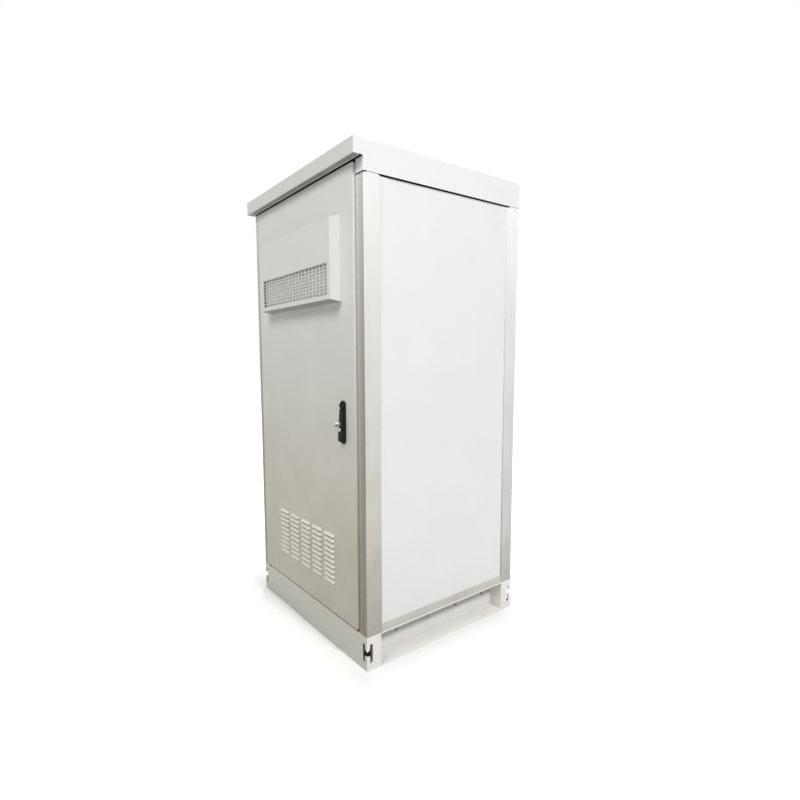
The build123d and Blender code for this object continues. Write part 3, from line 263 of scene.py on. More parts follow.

# Flange shadow: a painted shadow in the strip just below a flange
flange_painted_shadow, flange_shadow_in, flange_shadow_out = new_group(
    "flange_painted_shadow",
    (
        ("Colour", "NodeSocketColor", (0.6, 0.6, 0.57, 1)),
        ("Flange shadow colour", "NodeSocketColor", (0.20, 0.195, 0.165, 1)),
        ("Flange level", "NodeSocketFloat", 0.1),
        ("Band", "NodeSocketFloat", 0.02),
        ("Amount", "NodeSocketFloat", 0.5),
    ),
    (("Colour", "NodeSocketColor"), ("Mask", "NodeSocketFloat")),
)
flange_shadow_place = add_node(flange_painted_shadow, "ShaderNodeTexCoord")
flange_shadow_axes = add_node(flange_painted_shadow, "ShaderNodeSeparateXYZ")
flange_painted_shadow.links.new(flange_shadow_place.outputs["Object"], flange_shadow_axes.inputs[0])
flange_shadow_below = chain_maths(
    flange_painted_shadow, "SUBTRACT", flange_shadow_in.outputs["Flange level"], flange_shadow_axes.outputs["Z"]
)
flange_shadow_share = chain_maths(flange_painted_shadow, "DIVIDE", flange_shadow_below, flange_shadow_in.outputs["Band"])
flange_shadow_wander = ramp_between(flange_painted_shadow, object_noise(flange_painted_shadow, 14, 3), 0.3, 0.7, -0.03, 0.03)
flange_shadow_share = chain_maths(flange_painted_shadow, "ADD", flange_shadow_share, flange_shadow_wander)
flange_shadow_fade = ramp_between(flange_painted_shadow, flange_shadow_share, 0.92, 1.06, 1.0, 0.0)
flange_shadow_under = ramp_between(flange_painted_shadow, flange_shadow_below, 0.0, 0.001)
flange_shadow_mask = chain_maths(flange_painted_shadow, "MULTIPLY", flange_shadow_fade, flange_shadow_under)
flange_shadow_mask = chain_maths(
    flange_painted_shadow, "MULTIPLY", flange_shadow_mask, flange_shadow_in.outputs["Amount"], True
)
flange_shadow_colour = mix_colours(
    flange_painted_shadow, flange_shadow_mask, flange_shadow_in.outputs["Colour"], flange_shadow_in.outputs["Flange shadow colour"]
)
flange_painted_shadow.links.new(flange_shadow_colour, flange_shadow_out.inputs["Colour"])
flange_painted_shadow.links.new(flange_shadow_mask, flange_shadow_out.inputs["Mask"])


def place_group(tree, group, values, colour=None):
    """An effect group in a material, with its own values and the colour that it works on."""
    node = add_node(tree, "ShaderNodeGroup", {"node_tree": group}, values)
    if colour is not None:
        tree.links.new(colour, node.inputs["Colour"])
    return node


def new_finish(name):
    """An empty node material and its surface shader."""
    material = bpy.data.materials.new(name)
    material.use_nodes = True
    shader = material.node_tree.nodes["Principled BSDF"]
    return material, material.node_tree, shader


def add_bump(tree, shader, height, strength, distance):
    """Bump from a height value on a material's surface shader."""
    bump = add_node(tree, "ShaderNodeBump", values={"Strength": strength, "Distance": distance})
    tree.links.new(height, bump.inputs["Height"])
    tree.links.new(bump.outputs[0], shader.inputs["Normal"])


def weathered_and_shaded(tree, shader, base, edge_colour, edge, low_darkening, effects):
    """Rubbed edges, a darkening towards the ground that is partly dirt and partly painted shade, and more
    effects as pairs of a group and its values, over a base group.
    """
    worn = place_group(
        tree, edge_wear, {"Edge colour": edge_colour, "Amount": edge}, base.outputs["Colour"]
    )
    darkened_coat = place_group(tree, ground_dirt_and_shade, low_darkening, worn.outputs["Colour"])
    for group, values in effects:
        darkened_coat = place_group(tree, group, values, darkened_coat.outputs["Colour"])
    tree.links.new(darkened_coat.outputs["Colour"], shader.inputs["Base Color"])
    tree.links.new(base.outputs["Roughness"], shader.inputs["Roughness"])


def coated_sheet(name, colour, roughness, edge, low_darkening, effects=()):
    """Sprayed sheet metal with rubbed edges and a darkening towards the ground."""
    material, tree, shader = new_finish(name)
    shader.inputs["Specular IOR Level"].default_value = 0.4
    coat = place_group(
        tree, coat_grain, {"Colour": colour, "Drift": 0.05, "Base roughness": roughness}
    )
    weathered_and_shaded(tree, shader, coat, (0.86, 0.86, 0.83, 1), edge, low_darkening, effects)
    add_bump(tree, shader, coat.outputs["Height"], strength=0.06, distance=0.0006)
    return material


def softened(node, body, edge, material):
    """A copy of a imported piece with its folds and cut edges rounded, which stands for that piece."""
    shape = bmesh.new()
    shape.from_mesh(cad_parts[node].data)
    bmesh.ops.remove_doubles(shape, verts=shape.verts, dist=0.00001)
    bmesh.ops.dissolve_limit(
        shape, angle_limit=radians(0.5), verts=shape.verts, edges=shape.edges
    )
    mesh = bpy.data.meshes.new(node + "_finished")
    shape.to_mesh(mesh)
    shape.free()
    mesh.shade_smooth()
    mesh.set_sharp_from_angle(angle=radians(20))
    mesh.materials.clear()
    mesh.materials.append(material)
    piece = bpy.data.objects.new(node + "_finished", mesh)
    scene.collection.objects.link(piece)
    rounding = piece.modifiers.new("edge_rounding", "BEVEL")
    rounding.width = edge
    rounding.segments = 2
    rounding.limit_method = "ANGLE"
    rounding.angle_limit = radians(35)
    rounding.harden_normals = True
    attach(piece, body)
    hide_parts(node)
    return piece


# The front faces of the beams are painted darker as shade.
beam_coat = coated_sheet(
    "beam_coat",
    colour=(0.83, 0.81, 0.77, 1),
    roughness=0.55,
    edge=0.5,
    low_darkening={"Reach": 0.14, "Amount": 0.10, "Specks": 0.5},
    effects=[
        (
            front_painted_shade,
            {"Front shade colour": (0.25, 0.26, 0.175, 1), "Low amount": 0.42, "High amount": 0.42},
        )
    ],
)
channel_sheet = 0.004
channel_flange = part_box("plinth_channel_right")[1].z - channel_sheet
# The channels carry painted shade on faces that look down, and a painted shadow in a band below their top
# flanges.
channel_coat = coated_sheet(
    "channel_coat",
    colour=(0.83, 0.815, 0.79, 1),
    roughness=0.55,
    edge=0.5,
    low_darkening={"Reach": 0.14, "Amount": 0.06, "Specks": 0.5},
    effects=[
        (underside_painted_shade, {"Amount": 0.9}),
        (flange_painted_shadow, {"Flange level": channel_flange, "Band": 0.060, "Amount": 0.45}),
    ],
)
plinth_edge = 0.0009
for beam in ("plinth_front", "plinth_rear"):
    softened(beam, "cabinet", plinth_edge, beam_coat)
for channel in ("plinth_channel_right", "plinth_channel_left"):
    softened(channel, "cabinet", plinth_edge, channel_coat)


# Plinth fasteners: the bolts that hold the frame down on the channels, and round-headed screws
# through the faces of the beams. They are turned steel with a dull zinc plating. The bolts that hang
# under the flanges are painted dark as shade.
drawn_lines, drawn_in, drawn_out = new_group(
    "drawn_lines",
    (
        ("Colour", "NodeSocketColor", (0.5, 0.5, 0.49, 1)),
        ("Contrast", "NodeSocketFloat", 0.2),
        ("Base roughness", "NodeSocketFloat", 0.4),
    ),
    (
        ("Colour", "NodeSocketColor"),
        ("Roughness", "NodeSocketFloat"),
        ("Height", "NodeSocketFloat"),
    ),
)
line_noise = object_noise(drawn_lines, 260, 3, (1, 1, 0.008))
line_mask = ramp_between(drawn_lines, line_noise, 0.3, 0.7)
line_amount = chain_maths(drawn_lines, "MULTIPLY", line_mask, drawn_in.outputs["Contrast"])
line_colour = mix_colours(
    drawn_lines, line_amount, drawn_in.outputs["Colour"], (0.22, 0.22, 0.21, 1)
)
drawn_lines.links.new(line_colour, drawn_out.inputs["Colour"])
line_rough = ramp_between(drawn_lines, line_noise, 0.3, 0.7, -0.06, 0.10)
line_rough = chain_maths(drawn_lines, "ADD", line_rough, drawn_in.outputs["Base roughness"])
drawn_lines.links.new(line_rough, drawn_out.inputs["Roughness"])
drawn_lines.links.new(line_noise, drawn_out.inputs["Height"])


def bare_sheet(name, colour, metallic, roughness, contrast, low_darkening, effects=()):
    """Bare rolled or plated metal with drawn lines, rubbed edges and a darkening towards the ground."""
    material, tree, shader = new_finish(name)
    shader.inputs["Metallic"].default_value = metallic
    lines = place_group(
        tree,
        drawn_lines,
        {"Colour": colour, "Contrast": contrast, "Base roughness": roughness},
    )
    weathered_and_shaded(tree, shader, lines, (0.78, 0.78, 0.76, 1), 0.5, low_darkening, effects)
    add_bump(tree, shader, lines.outputs["Height"], strength=0.05, distance=0.0004)
    return material


zinc_plate = bare_sheet(
    "zinc_plate",
    colour=(0.60, 0.61, 0.62, 1),
    metallic=0.85,
    roughness=0.36,
    contrast=0.12,
    low_darkening={"Reach": 0.4, "Amount": 0.10, "Specks": 0.1},
)
# On the frame bolts this dark plate is painted shade; on the pivot brackets it is their dull finish.
dull_zinc_and_bolt_shade = bare_sheet(
    "dull_zinc_and_bolt_shade",
    colour=(0.30, 0.295, 0.28, 1),
    metallic=0.7,
    roughness=0.48,
    contrast=0.20,
    low_darkening={"Reach": 0.4, "Amount": 0.30, "Specks": 0.1},
)


def refinish(material, *nodes):
    """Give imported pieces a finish."""
    for node in nodes:
        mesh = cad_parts[node].data
        mesh.materials.clear()
        mesh.materials.append(material)


def new_piece(name, mesh, body, material):
    """A finished mesh as a piece that rides on a body."""
    mesh.materials.clear()
    mesh.materials.append(material)
    piece = bpy.data.objects.new(name, mesh)
    scene.collection.objects.link(piece)
    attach(piece, body)
    return piece


def screw_heads(name, body, places, outward, radius, rise, sides=16):
    """Domed screw heads with a sunk socket, set on a face that looks along a direction."""
    head = bmesh.new()
    bmesh.ops.create_circle(head, cap_ends=True, segments=sides, radius=radius)
    lifted = bmesh.ops.extrude_face_region(head, geom=head.faces[:])
    crown = [item for item in lifted["geom"] if isinstance(item, bmesh.types.BMFace)]
    crown_verts = [item for item in lifted["geom"] if isinstance(item, bmesh.types.BMVert)]
    bmesh.ops.translate(head, verts=crown_verts, vec=(0, 0, 0.7 * rise))
    bmesh.ops.recalc_face_normals(head, faces=head.faces)
    bmesh.ops.inset_region(head, faces=crown, thickness=0.3 * radius, depth=0.3 * rise)
    bmesh.ops.inset_region(head, faces=crown, thickness=0.15 * radius, depth=0)
    bmesh.ops.inset_region(head, faces=crown, thickness=0.05 * radius, depth=-0.6 * rise)
    mesh = bpy.data.meshes.new(name)
    head.to_mesh(mesh)
    head.free()
    turn = Vector((0, 0, 1)).rotation_difference(Vector(outward)).to_matrix().to_4x4()
    heads = bmesh.new()
    for place in places:
        made = len(heads.verts)
        heads.from_mesh(mesh)
        heads.verts.ensure_lookup_table()
        settled = Matrix.Translation(place) @ turn
        bmesh.ops.transform(heads, matrix=settled, verts=heads.verts[made:])
    heads.to_mesh(mesh)
    heads.free()
    return new_piece(name, mesh, body, zinc_plate)


# The frame bolts hang in the shade under the channel flanges and are painted dark for it.
refinish(dull_zinc_and_bolt_shade, "frame_bolts")
beam_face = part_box("plinth_front")[0].y
beam_screw_level = 0.039
beam_screw_places = (-0.288, -0.118, 0.118, 0.288)
for row, ahead in (("front", -1), ("rear", 1)):
    screw_heads(
        f"plinth_screws_{row}",
        "cabinet",
        [(x, -ahead * beam_face, beam_screw_level) for x in beam_screw_places],
        outward=(0, ahead, 0),
        radius=0.0042,
        rise=0.0022,
    )

# Posts and outer rails: rolled sheet with a satin mill finish and drawn lines along its length.
# The folds are tight. The bare metal is painted darker towards the ground, a painted reflection of the
# darker floor with some dirt, and painted shade darkens the front faces most. The rear posts take a
# lighter copy of the finish, which stands in for the light they catch.
post_metal = bare_sheet(
    "post_metal",
    colour=(0.87, 0.86, 0.845, 1),
    metallic=0.25,
    roughness=0.42,
    contrast=0.08,
    low_darkening={
        "Dirt and shade colour": (0.245, 0.218, 0.172, 1),
        "Reach": 1.75,
        "Amount": 1.0,
        "Specks": 0.1,
    },
    effects=[(front_painted_shade, {"Low amount": 1.0, "High amount": 0.38, "Across": 0.7})],
)
rail_metal = bare_sheet(
    "rail_metal",
    colour=(0.80, 0.79, 0.775, 1),
    metallic=0.25,
    roughness=0.42,
    contrast=0.08,
    low_darkening={"Reach": 1.75, "Amount": 0.68, "Specks": 0.1},
    effects=[(front_painted_shade, {"Low amount": 0.5, "High amount": 0.30})],
)
# A lighter copy of the post finish for the rear posts, standing in for the light they catch.
rear_post_metal = bare_sheet(
    "rear_post_metal",
    colour=(0.92, 0.92, 0.92, 1),
    metallic=0.25,
    roughness=0.42,
    contrast=0.08,
    low_darkening={
        "Dirt and shade colour": (0.265, 0.252, 0.225, 1),
        "Reach": 1.75,
        "Amount": 1.0,
        "Specks": 0.1,
    },
)
post_edge = 0.0006
rail_edge = 0.0004
for post in ("post_front_right", "post_front_left"):
    softened(post, "cabinet", post_edge, post_metal)
for post in ("post_rear_right", "post_rear_left"):
    softened(post, "cabinet", post_edge, rear_post_metal)
for rail in (
    "bottom_rail_right",
    "bottom_rail_left",
    "bottom_rail_rear",
    "bottom_rail_front",
    "top_rail_front",
):
    softened(rail, "cabinet", rail_edge, rail_metal)

# Inner frame, floor and ceiling: folded zinc-plated sheet, bolted and riveted inside the posts.
# The floor has an opening for cables, closed by a loose plate that round-headed screws hold down.
refinish(
    zinc_plate,
    "top_rail_right",
    "top_rail_left",
    "top_rail_rear",
    "ceiling_plate",
    "roof_bearers",
    "floor_plate",
    "gland_plate",
)
gland_low, gland_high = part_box("gland_plate")
gland_inset = 0.010
gland_middle = (gland_low.x + gland_high.x) / 2
gland_columns = (gland_low.x + gland_inset, gland_middle, gland_high.x - gland_inset)
gland_rows = (gland_low.y + gland_inset, gland_high.y - gland_inset)
screw_heads(
    "gland_screws",
    "cabinet",
    [(x, y, gland_high.z) for x in gland_columns for y in gland_rows],
    outward=(0, 0, 1),
    radius=0.0045,
    rise=0.0028,
)

# Rack rails: hemmed steel angles from the floor plate to the ceiling plate, zinc plated.
# Their faces are pierced with square holes in the usual rack pattern, for cage nuts.
rack_sheet = 0.002
rack_face = 0.038
rack_hem = 0.012
rack_unit = 0.04445
rack_hole = 0.0095
rack_hole_share = 0.45
rack_hole_levels = (0.00635, 0.022225, 0.0381)
rack_end = 0.02
for row, ahead in (("front", -1), ("rear", 1)):
    for hand, side in (("right", 1), ("left", -1)):
        node = f"rack_rail_{row}_{hand}"
        low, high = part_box(node)
        free_x, foot_x = (low.x, high.x) if side > 0 else (high.x, low.x)
        face_y, back_y = (low.y, high.y) if ahead < 0 else (high.y, low.y)
        web_x = free_x + side * rack_face
        hole_x = free_x + side * rack_face * rack_hole_share
        columns = (free_x, hole_x - side * rack_hole / 2, hole_x + side * rack_hole / 2, web_x)
        levels = [low.z]
        for unit in range(int((high.z - low.z - 2 * rack_end) / rack_unit)):
            for hole_level in rack_hole_levels:
                hole_z = low.z + rack_end + unit * rack_unit + hole_level
                levels += [hole_z - rack_hole / 2, hole_z + rack_hole / 2]
        levels.append(high.z)
        last = len(levels) - 1
        strip = bmesh.new()
        bmesh.ops.create_grid(strip, x_segments=3, y_segments=last, size=0.5)
        pierced = [
            face
            for face in strip.faces
            if abs(face.calc_center_median().x) < 0.1
            and int((face.calc_center_median().y + 0.5) * last) % 2
        ]
        bmesh.ops.delete(strip, geom=pierced, context="FACES")
        for vert in strip.verts:
            column = round((vert.co.x + 0.5) * 3)
            level = round((vert.co.y + 0.5) * last)
            vert.co = (columns[column], face_y, levels[level])
        folds = [
            edge
            for edge in strip.edges
            if all(abs(vert.co.x - web_x) < 0.00001 for vert in edge.verts)
        ]
        for fold in ((0, back_y - face_y, 0), (-side * rack_hem, 0, 0)):
            grown = bmesh.ops.extrude_edge_only(strip, edges=folds)
            folds = [item for item in grown["geom"] if isinstance(item, bmesh.types.BMEdge)]
            folds = [edge for edge in folds if edge.is_boundary and len(edge.link_faces) == 1]
            moved = [item for item in grown["geom"] if isinstance(item, bmesh.types.BMVert)]
            bmesh.ops.translate(strip, verts=moved, vec=fold)
            folds = [edge for edge in folds if all(vert in moved for vert in edge.verts)]
        strip.normal_update()
        strip.faces.ensure_lookup_table()
        if strip.faces[0].normal.y * ahead < 0:
            bmesh.ops.reverse_faces(strip, faces=strip.faces)
        for foot_z, upward in ((low.z + rack_sheet, 1), (high.z - rack_sheet, -1)):
            foot = bmesh.ops.create_grid(strip, x_segments=1, y_segments=1, size=0.5)
            spread = Matrix.Diagonal((abs(foot_x - web_x), abs(back_y - face_y), upward, 1))
            middle = Matrix.Translation(((foot_x + web_x) / 2, (back_y + face_y) / 2, foot_z))
            bmesh.ops.transform(strip, matrix=middle @ spread, verts=foot["verts"])
            if upward < 0:
                bmesh.ops.reverse_faces(strip, faces=foot["verts"][0].link_faces[:])
        rail_mesh = bpy.data.meshes.new(node + "_pierced")
        strip.to_mesh(rail_mesh)
        strip.free()
        rail = new_piece(node + "_pierced", rail_mesh, "cabinet", zinc_plate)
        wall = rail.modifiers.new("sheet", "SOLIDIFY")
        wall.thickness = rack_sheet
        wall.offset = -1
        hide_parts(node)

# Plain walls: folded sheet in off-white powder coat, set back a little between the posts and rails.
# They are held from inside, so that nothing shows on their outer faces.
# The walls turn a little darker towards the ground.
wall_coat = coated_sheet(
    "wall_coat",
    colour=(0.81, 0.806, 0.80, 1),
    roughness=0.42,
    edge=0.3,
    low_darkening={
        "Dirt and shade colour": (0.40, 0.38, 0.35, 1),
        "Reach": 1.2,
        "Amount": 0.14,
        "Specks": 0.0,
    },
)
wall_edge = 0.0007
for wall in ("side_panel_right", "side_panel_left", "rear_panel"):
    softened(wall, "cabinet", wall_edge, wall_coat)

# Roof cap: one folded and welded hat in the same powder coat, which stands on bearers over the ceiling.
# Its front is a deep visor with a return lip inside. The visor's front face is painted darker as
# shade, and faces that look down carry painted shade.
visor_face = -0.4392
roof_coat = coated_sheet(
    "roof_coat",
    colour=(0.82, 0.818, 0.812, 1),
    roughness=0.42,
    edge=0.3,
    low_darkening={"Amount": 0.0, "Specks": 0.0},
    effects=[
        (front_painted_shade, {"Face": visor_face, "Low amount": 0.33, "High amount": 0.33}),
        (underside_painted_shade, {"Underside shade colour": (0.17, 0.167, 0.14, 1), "Amount": 0.92}),
    ],
)
roof_edge = 0.0009
softened("roof_cap", "cabinet", roof_edge, roof_coat)
roof_low, roof_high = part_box("roof_cap")
roof_sheet = 0.002
fascia_height = 0.052
lip_depth = 0.023
lip_turn = -0.0035
lip_front = roof_low.y + roof_sheet / 2
lip = bmesh.new()
bmesh.ops.create_grid(lip, x_segments=1, y_segments=1, size=0.5)
lip_spread = Matrix.Diagonal((roof_high.x - roof_low.x - 2 * roof_sheet, lip_depth, 1, 1))
lip_middle = Matrix.Translation((0, lip_front + lip_depth / 2, roof_high.z - fascia_height))
bmesh.ops.transform(lip, matrix=lip_middle @ lip_spread, verts=lip.verts)
lip_rear = [
    edge for edge in lip.edges if all(vert.co.y > lip_front + lip_depth / 2 for vert in edge.verts)
]
lip_grown = bmesh.ops.extrude_edge_only(lip, edges=lip_rear)
lip_verts = [item for item in lip_grown["geom"] if isinstance(item, bmesh.types.BMVert)]
bmesh.ops.translate(lip, verts=lip_verts, vec=(0, 0, lip_turn))
bmesh.ops.recalc_face_normals(lip, faces=lip.faces)
lip_mesh = bpy.data.meshes.new("visor_lip")
lip.to_mesh(lip_mesh)
lip.free()
visor_lip = new_piece("visor_lip", lip_mesh, "cabinet", roof_coat)
lip_wall = visor_lip.modifiers.new("sheet", "SOLIDIFY")
lip_wall.thickness = roof_sheet
lip_wall.offset = 0

# Post caps: flat plates welded over the open tops of the posts, which the roof cap stands just clear of.
# They are cut from sheet with rounded corners and carry the same finish as the posts.
cap_sheet = 0.004
cap_width = 0.036
cap_depth = 0.052
cap_edge = 0.0008
cap_corner = 0.003
cap_front_gap = 0.013
for row, ahead in (("front", -1), ("rear", 1)):
    for hand, side in (("right", 1), ("left", -1)):
        post_low, post_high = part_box(f"post_{row}_{hand}")
        outer_x = post_high.x if side > 0 else post_low.x
        outer_y = post_low.y if ahead < 0 else post_high.y
        set_back = cap_front_gap if ahead < 0 else cap_edge
        cap = bmesh.new()
        bmesh.ops.create_grid(cap, x_segments=1, y_segments=1, size=0.5)
        bmesh.ops.transform(
            cap,
            matrix=Matrix.Translation(
                (
                    outer_x - side * (cap_edge + cap_width / 2),
                    outer_y - ahead * (set_back + cap_depth / 2),
                    post_high.z,
                )
            )
            @ Matrix.Diagonal((cap_width, cap_depth, 1, 1)),
            verts=cap.verts,
        )
        cap_grown = bmesh.ops.extrude_face_region(cap, geom=cap.faces[:])
        cap_verts = [item for item in cap_grown["geom"] if isinstance(item, bmesh.types.BMVert)]
        bmesh.ops.translate(cap, verts=cap_verts, vec=(0, 0, cap_sheet))
        bmesh.ops.recalc_face_normals(cap, faces=cap.faces)
        corners = [
            edge for edge in cap.edges if abs(edge.verts[0].co.z - edge.verts[1].co.z) > cap_sheet / 2
        ]
        bmesh.ops.bevel(
            cap,
            geom=corners,
            offset=cap_corner,
            affect="EDGES",
            segments=3,
            profile=0.5,
            material=-1,
        )
        cap_mesh = bpy.data.meshes.new(f"post_cap_{row}_{hand}")
        cap.to_mesh(cap_mesh)
        cap.free()
        new_piece(f"post_cap_{row}_{hand}", cap_mesh, "cabinet", post_metal)


# Rubber: moulded cable grommets, pressed into the holes of the gland plate, and a strip of foamed seal.
# The strip is glued to the inner side of the door skin, close to its folded edge.
def moulded(name, colour, roughness, grain):
    """Moulded rubber or plastic with a fine grain."""
    material, tree, shader = new_finish(name)
    coat = place_group(
        tree, coat_grain, {"Colour": colour, "Drift": 0.04, "Base roughness": roughness}
    )
    tree.links.new(coat.outputs["Colour"], shader.inputs["Base Color"])
    tree.links.new(coat.outputs["Roughness"], shader.inputs["Roughness"])
    add_bump(tree, shader, coat.outputs["Height"], strength=grain, distance=0.0005)
    return material


soft_rubber = moulded("soft_rubber", (0.025, 0.025, 0.026, 1), roughness=0.72, grain=0.25)
refinish(soft_rubber, "cable_grommets")
foamed_rubber = moulded("foamed_rubber", (0.14, 0.14, 0.135, 1), roughness=0.85, grain=0.45)
refinish(foamed_rubber, "door_gasket")

# Earth bar: drawn copper alloy on two moulded insulators, with a row of bolts for the earth leads.
# The bushes that the door turns on are turned from the same alloy.
bar_metal = bare_sheet(
    "bar_metal",
    colour=(0.70, 0.42, 0.22, 1),
    metallic=0.9,
    roughness=0.34,
    contrast=0.15,
    low_darkening={"Amount": 0.0, "Specks": 0.0},
)
refinish(bar_metal, "earth_bar", "hinge_bushes")
bar_low, bar_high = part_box("earth_bar")
bar_middle = (bar_low.y + bar_high.y) / 2
bolt_count = 6
bolt_step = (bar_high.x - bar_low.x) / (bolt_count + 2)
bolt_columns = [(index - (bolt_count - 1) / 2) * bolt_step for index in range(bolt_count)]
screw_heads(
    "earth_bolts",
    "cabinet",
    [(x, bar_middle, bar_high.z) for x in bolt_columns],
    outward=(0, 0, 1),
    radius=0.0062,
    rise=0.0045,
    sides=6,
)
red_moulding = moulded("red_moulding", (0.42, 0.05, 0.035, 1), roughness=0.35, grain=0.08)
refinish(red_moulding, "earth_insulators")

# Door: one folded tray of sheet in light grey powder coat, with the louvres pressed out of its skin.
# The louvre blades are painted lighter than the skin round them as a highlight, and faces that look
# down carry painted shade. The skin is painted darker and yellower towards the ground, painted shade
# with some dust.
blade_painted_highlight, blade_highlight_in, blade_highlight_out = new_group(
    "blade_painted_highlight",
    (
        ("Colour", "NodeSocketColor", (0.6, 0.6, 0.57, 1)),
        ("Blade highlight colour", "NodeSocketColor", (0.80, 0.785, 0.70, 1)),
        ("Amount", "NodeSocketFloat", 0.9),
    ),
    (("Colour", "NodeSocketColor"), ("Mask", "NodeSocketFloat")),
)
blade_highlight_place = add_node(blade_painted_highlight, "ShaderNodeTexCoord")
blade_highlight_axes = add_node(blade_painted_highlight, "ShaderNodeSeparateXYZ")
blade_painted_highlight.links.new(blade_highlight_place.outputs["Object"], blade_highlight_axes.inputs[0])
blade_crest, blade_shoulder = -0.4155, -0.4115
blade_root, skin_face = -0.4108, -0.4103
blade_highlight_depth = blade_highlight_axes.outputs["Y"]
blade_highlight_mask = ramp_between(blade_painted_highlight, blade_highlight_depth, blade_crest, blade_shoulder, 1.0, 0.1)
blade_highlight_edge = ramp_between(blade_painted_highlight, blade_highlight_depth, blade_root, skin_face, 1.0, 0.0)
blade_highlight_mask = chain_maths(blade_painted_highlight, "MULTIPLY", blade_highlight_mask, blade_highlight_edge)
blade_highlight_mask = chain_maths(
    blade_painted_highlight, "MULTIPLY", blade_highlight_mask, blade_highlight_in.outputs["Amount"], True
)
blade_highlight_colour = mix_colours(
    blade_painted_highlight, blade_highlight_mask, blade_highlight_in.outputs["Colour"], blade_highlight_in.outputs["Blade highlight colour"]
)
blade_painted_highlight.links.new(blade_highlight_colour, blade_highlight_out.inputs["Colour"])
blade_painted_highlight.links.new(blade_highlight_mask, blade_highlight_out.inputs["Mask"])
door_coat = coated_sheet(
    "door_coat",
    colour=(0.66, 0.667, 0.64, 1),
    roughness=0.46,
    edge=0.45,
    low_darkening={
        "Dirt and shade colour": (0.35, 0.30, 0.20, 1),
        "Reach": 1.3,
        "Full share": 0.3,
        "Amount": 0.70,
        "Specks": 0.12,
    },
    effects=[(blade_painted_highlight, {"Amount": 0.9}), (underside_painted_shade, {"Amount": 0.7})],
)
door_edge = 0.0004
softened("door_panel", "door", door_edge, door_coat)

# Vent hood: a folded and welded box on the door skin, open behind, in the same powder coat.
# Its floor falls a little towards the door, and its front is cut out for a grille of thin sheet
# that is pierced with rows of square holes.
# Faces of the hood that look down carry painted shade.
hood_coat = coated_sheet(
    "hood_coat",
    colour=(0.665, 0.67, 0.642, 1),
    roughness=0.46,
    edge=0.45,
    low_darkening={"Amount": 0.0, "Specks": 0.0},
    effects=[(underside_painted_shade, {"Amount": 0.85})],
)
hood_edge = 0.0008
vent_hood = softened("vent_hood", "door", hood_edge, hood_coat)
hood_low, hood_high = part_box("vent_hood")
hood_floor = 0.004
hood_front_rise = 0.0035
hood_rear_drop = 0.004
for vert in vent_hood.data.vertices:
    if vert.co.z < hood_low.z + hood_floor:
        share = (vert.co.y - hood_low.y) / (hood_high.y - hood_low.y)
        vert.co.z += hood_front_rise - share * (hood_front_rise + hood_rear_drop)
refinish(hood_coat, "hood_grille")

# Fans: moulded black frames and rotors, screwed to the door behind the hood, with bright wire guards.
# The guides of the locking rods are moulded in the same plastic.
fan_plastic = moulded("fan_plastic", (0.03, 0.03, 0.031, 1), roughness=0.5, grain=0.12)
refinish(
    fan_plastic,
    "fan_frame_left",
    "fan_frame_right",
    "fan_rotor_left",
    "fan_rotor_right",
    "rod_guides",
)


def bright_plate(name, colour, roughness):
    """Polished plating with faint handling marks."""
    material, tree, shader = new_finish(name)
    shader.inputs["Metallic"].default_value = 1.0
    lines = place_group(
        tree, coat_grain, {"Colour": colour, "Drift": 0.10, "Base roughness": roughness}
    )
    tree.links.new(lines.outputs["Colour"], shader.inputs["Base Color"])
    tree.links.new(lines.outputs["Roughness"], shader.inputs["Roughness"])
    return material


bright_chrome = bright_plate("bright_chrome", (0.60, 0.595, 0.58, 1), roughness=0.17)
refinish(bright_chrome, "fan_guards")

# Filter mats: loose pale fibres, bonded into a thick felt and cut to size.
# One lies in the filter frame behind the louvres and one behind the grille of the hood.
felt, felt_tree, felt_shader = new_finish("filter_felt")
felt_shader.inputs["Roughness"].default_value = 0.95
felt_fibres = ramp_between(felt_tree, object_noise(felt_tree, 240, 5), 0.35, 0.65)
felt_colour = mix_colours(
    felt_tree, felt_fibres, (0.62, 0.61, 0.57, 1), (0.82, 0.81, 0.78, 1)
)
felt_tree.links.new(felt_colour, felt_shader.inputs["Base Color"])
felt_height = object_noise(felt_tree, 380, 5)
add_bump(felt_tree, felt_shader, felt_height, strength=0.8, distance=0.002)
refinish(felt, "filter_mat", "hood_mat")

# Swing handle: a housing and a lever, cast in light metal with a slightly grainy black coat.
# The lever is pinned to a spindle that goes through the door and draws the locking rods.
black_coat = moulded("black_coat", (0.006, 0.006, 0.006, 1), roughness=0.48, grain=0.10)
black_shader = black_coat.node_tree.nodes["Principled BSDF"]
black_shader.inputs["Specular IOR Level"].default_value = 0.10
refinish(black_coat, "handle_housing", "handle_lever", "lock_spindle")

# Inner door fittings: stiffeners, filter frame and lock parts, stamped and folded in zinc-plated steel.
# The pivot brackets have dulled. Round-headed screws hold the filter frame and the fans.
refinish(
    zinc_plate,
    "lock_keepers",
    "door_stiffeners",
    "filter_frame",
    "lock_case",
    "lever_pin",
    "upper_rod",
    "lower_rod",
)
refinish(dull_zinc_and_bolt_shade, "hinge_bracket_lower", "hinge_bracket_upper")
fitting_screw_places = {"filter_screws": [], "fan_screws": []}
for screws, frame_node, inset in (
    ("filter_screws", "filter_frame", 0.007),
    ("fan_screws", "fan_frame_left", 0.0075),
    ("fan_screws", "fan_frame_right", 0.0075),
):
    low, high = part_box(frame_node)
    for x in (low.x + inset, high.x - inset):
        for z in (low.z + inset, high.z - inset):
            fitting_screw_places[screws].append((x, high.y, z))
for screws, radius, rise in (("filter_screws", 0.0045, 0.0035), ("fan_screws", 0.0038, 0.0022)):
    screw_heads(screws, "door", fitting_screw_places[screws], (0, 1, 0), radius, rise)

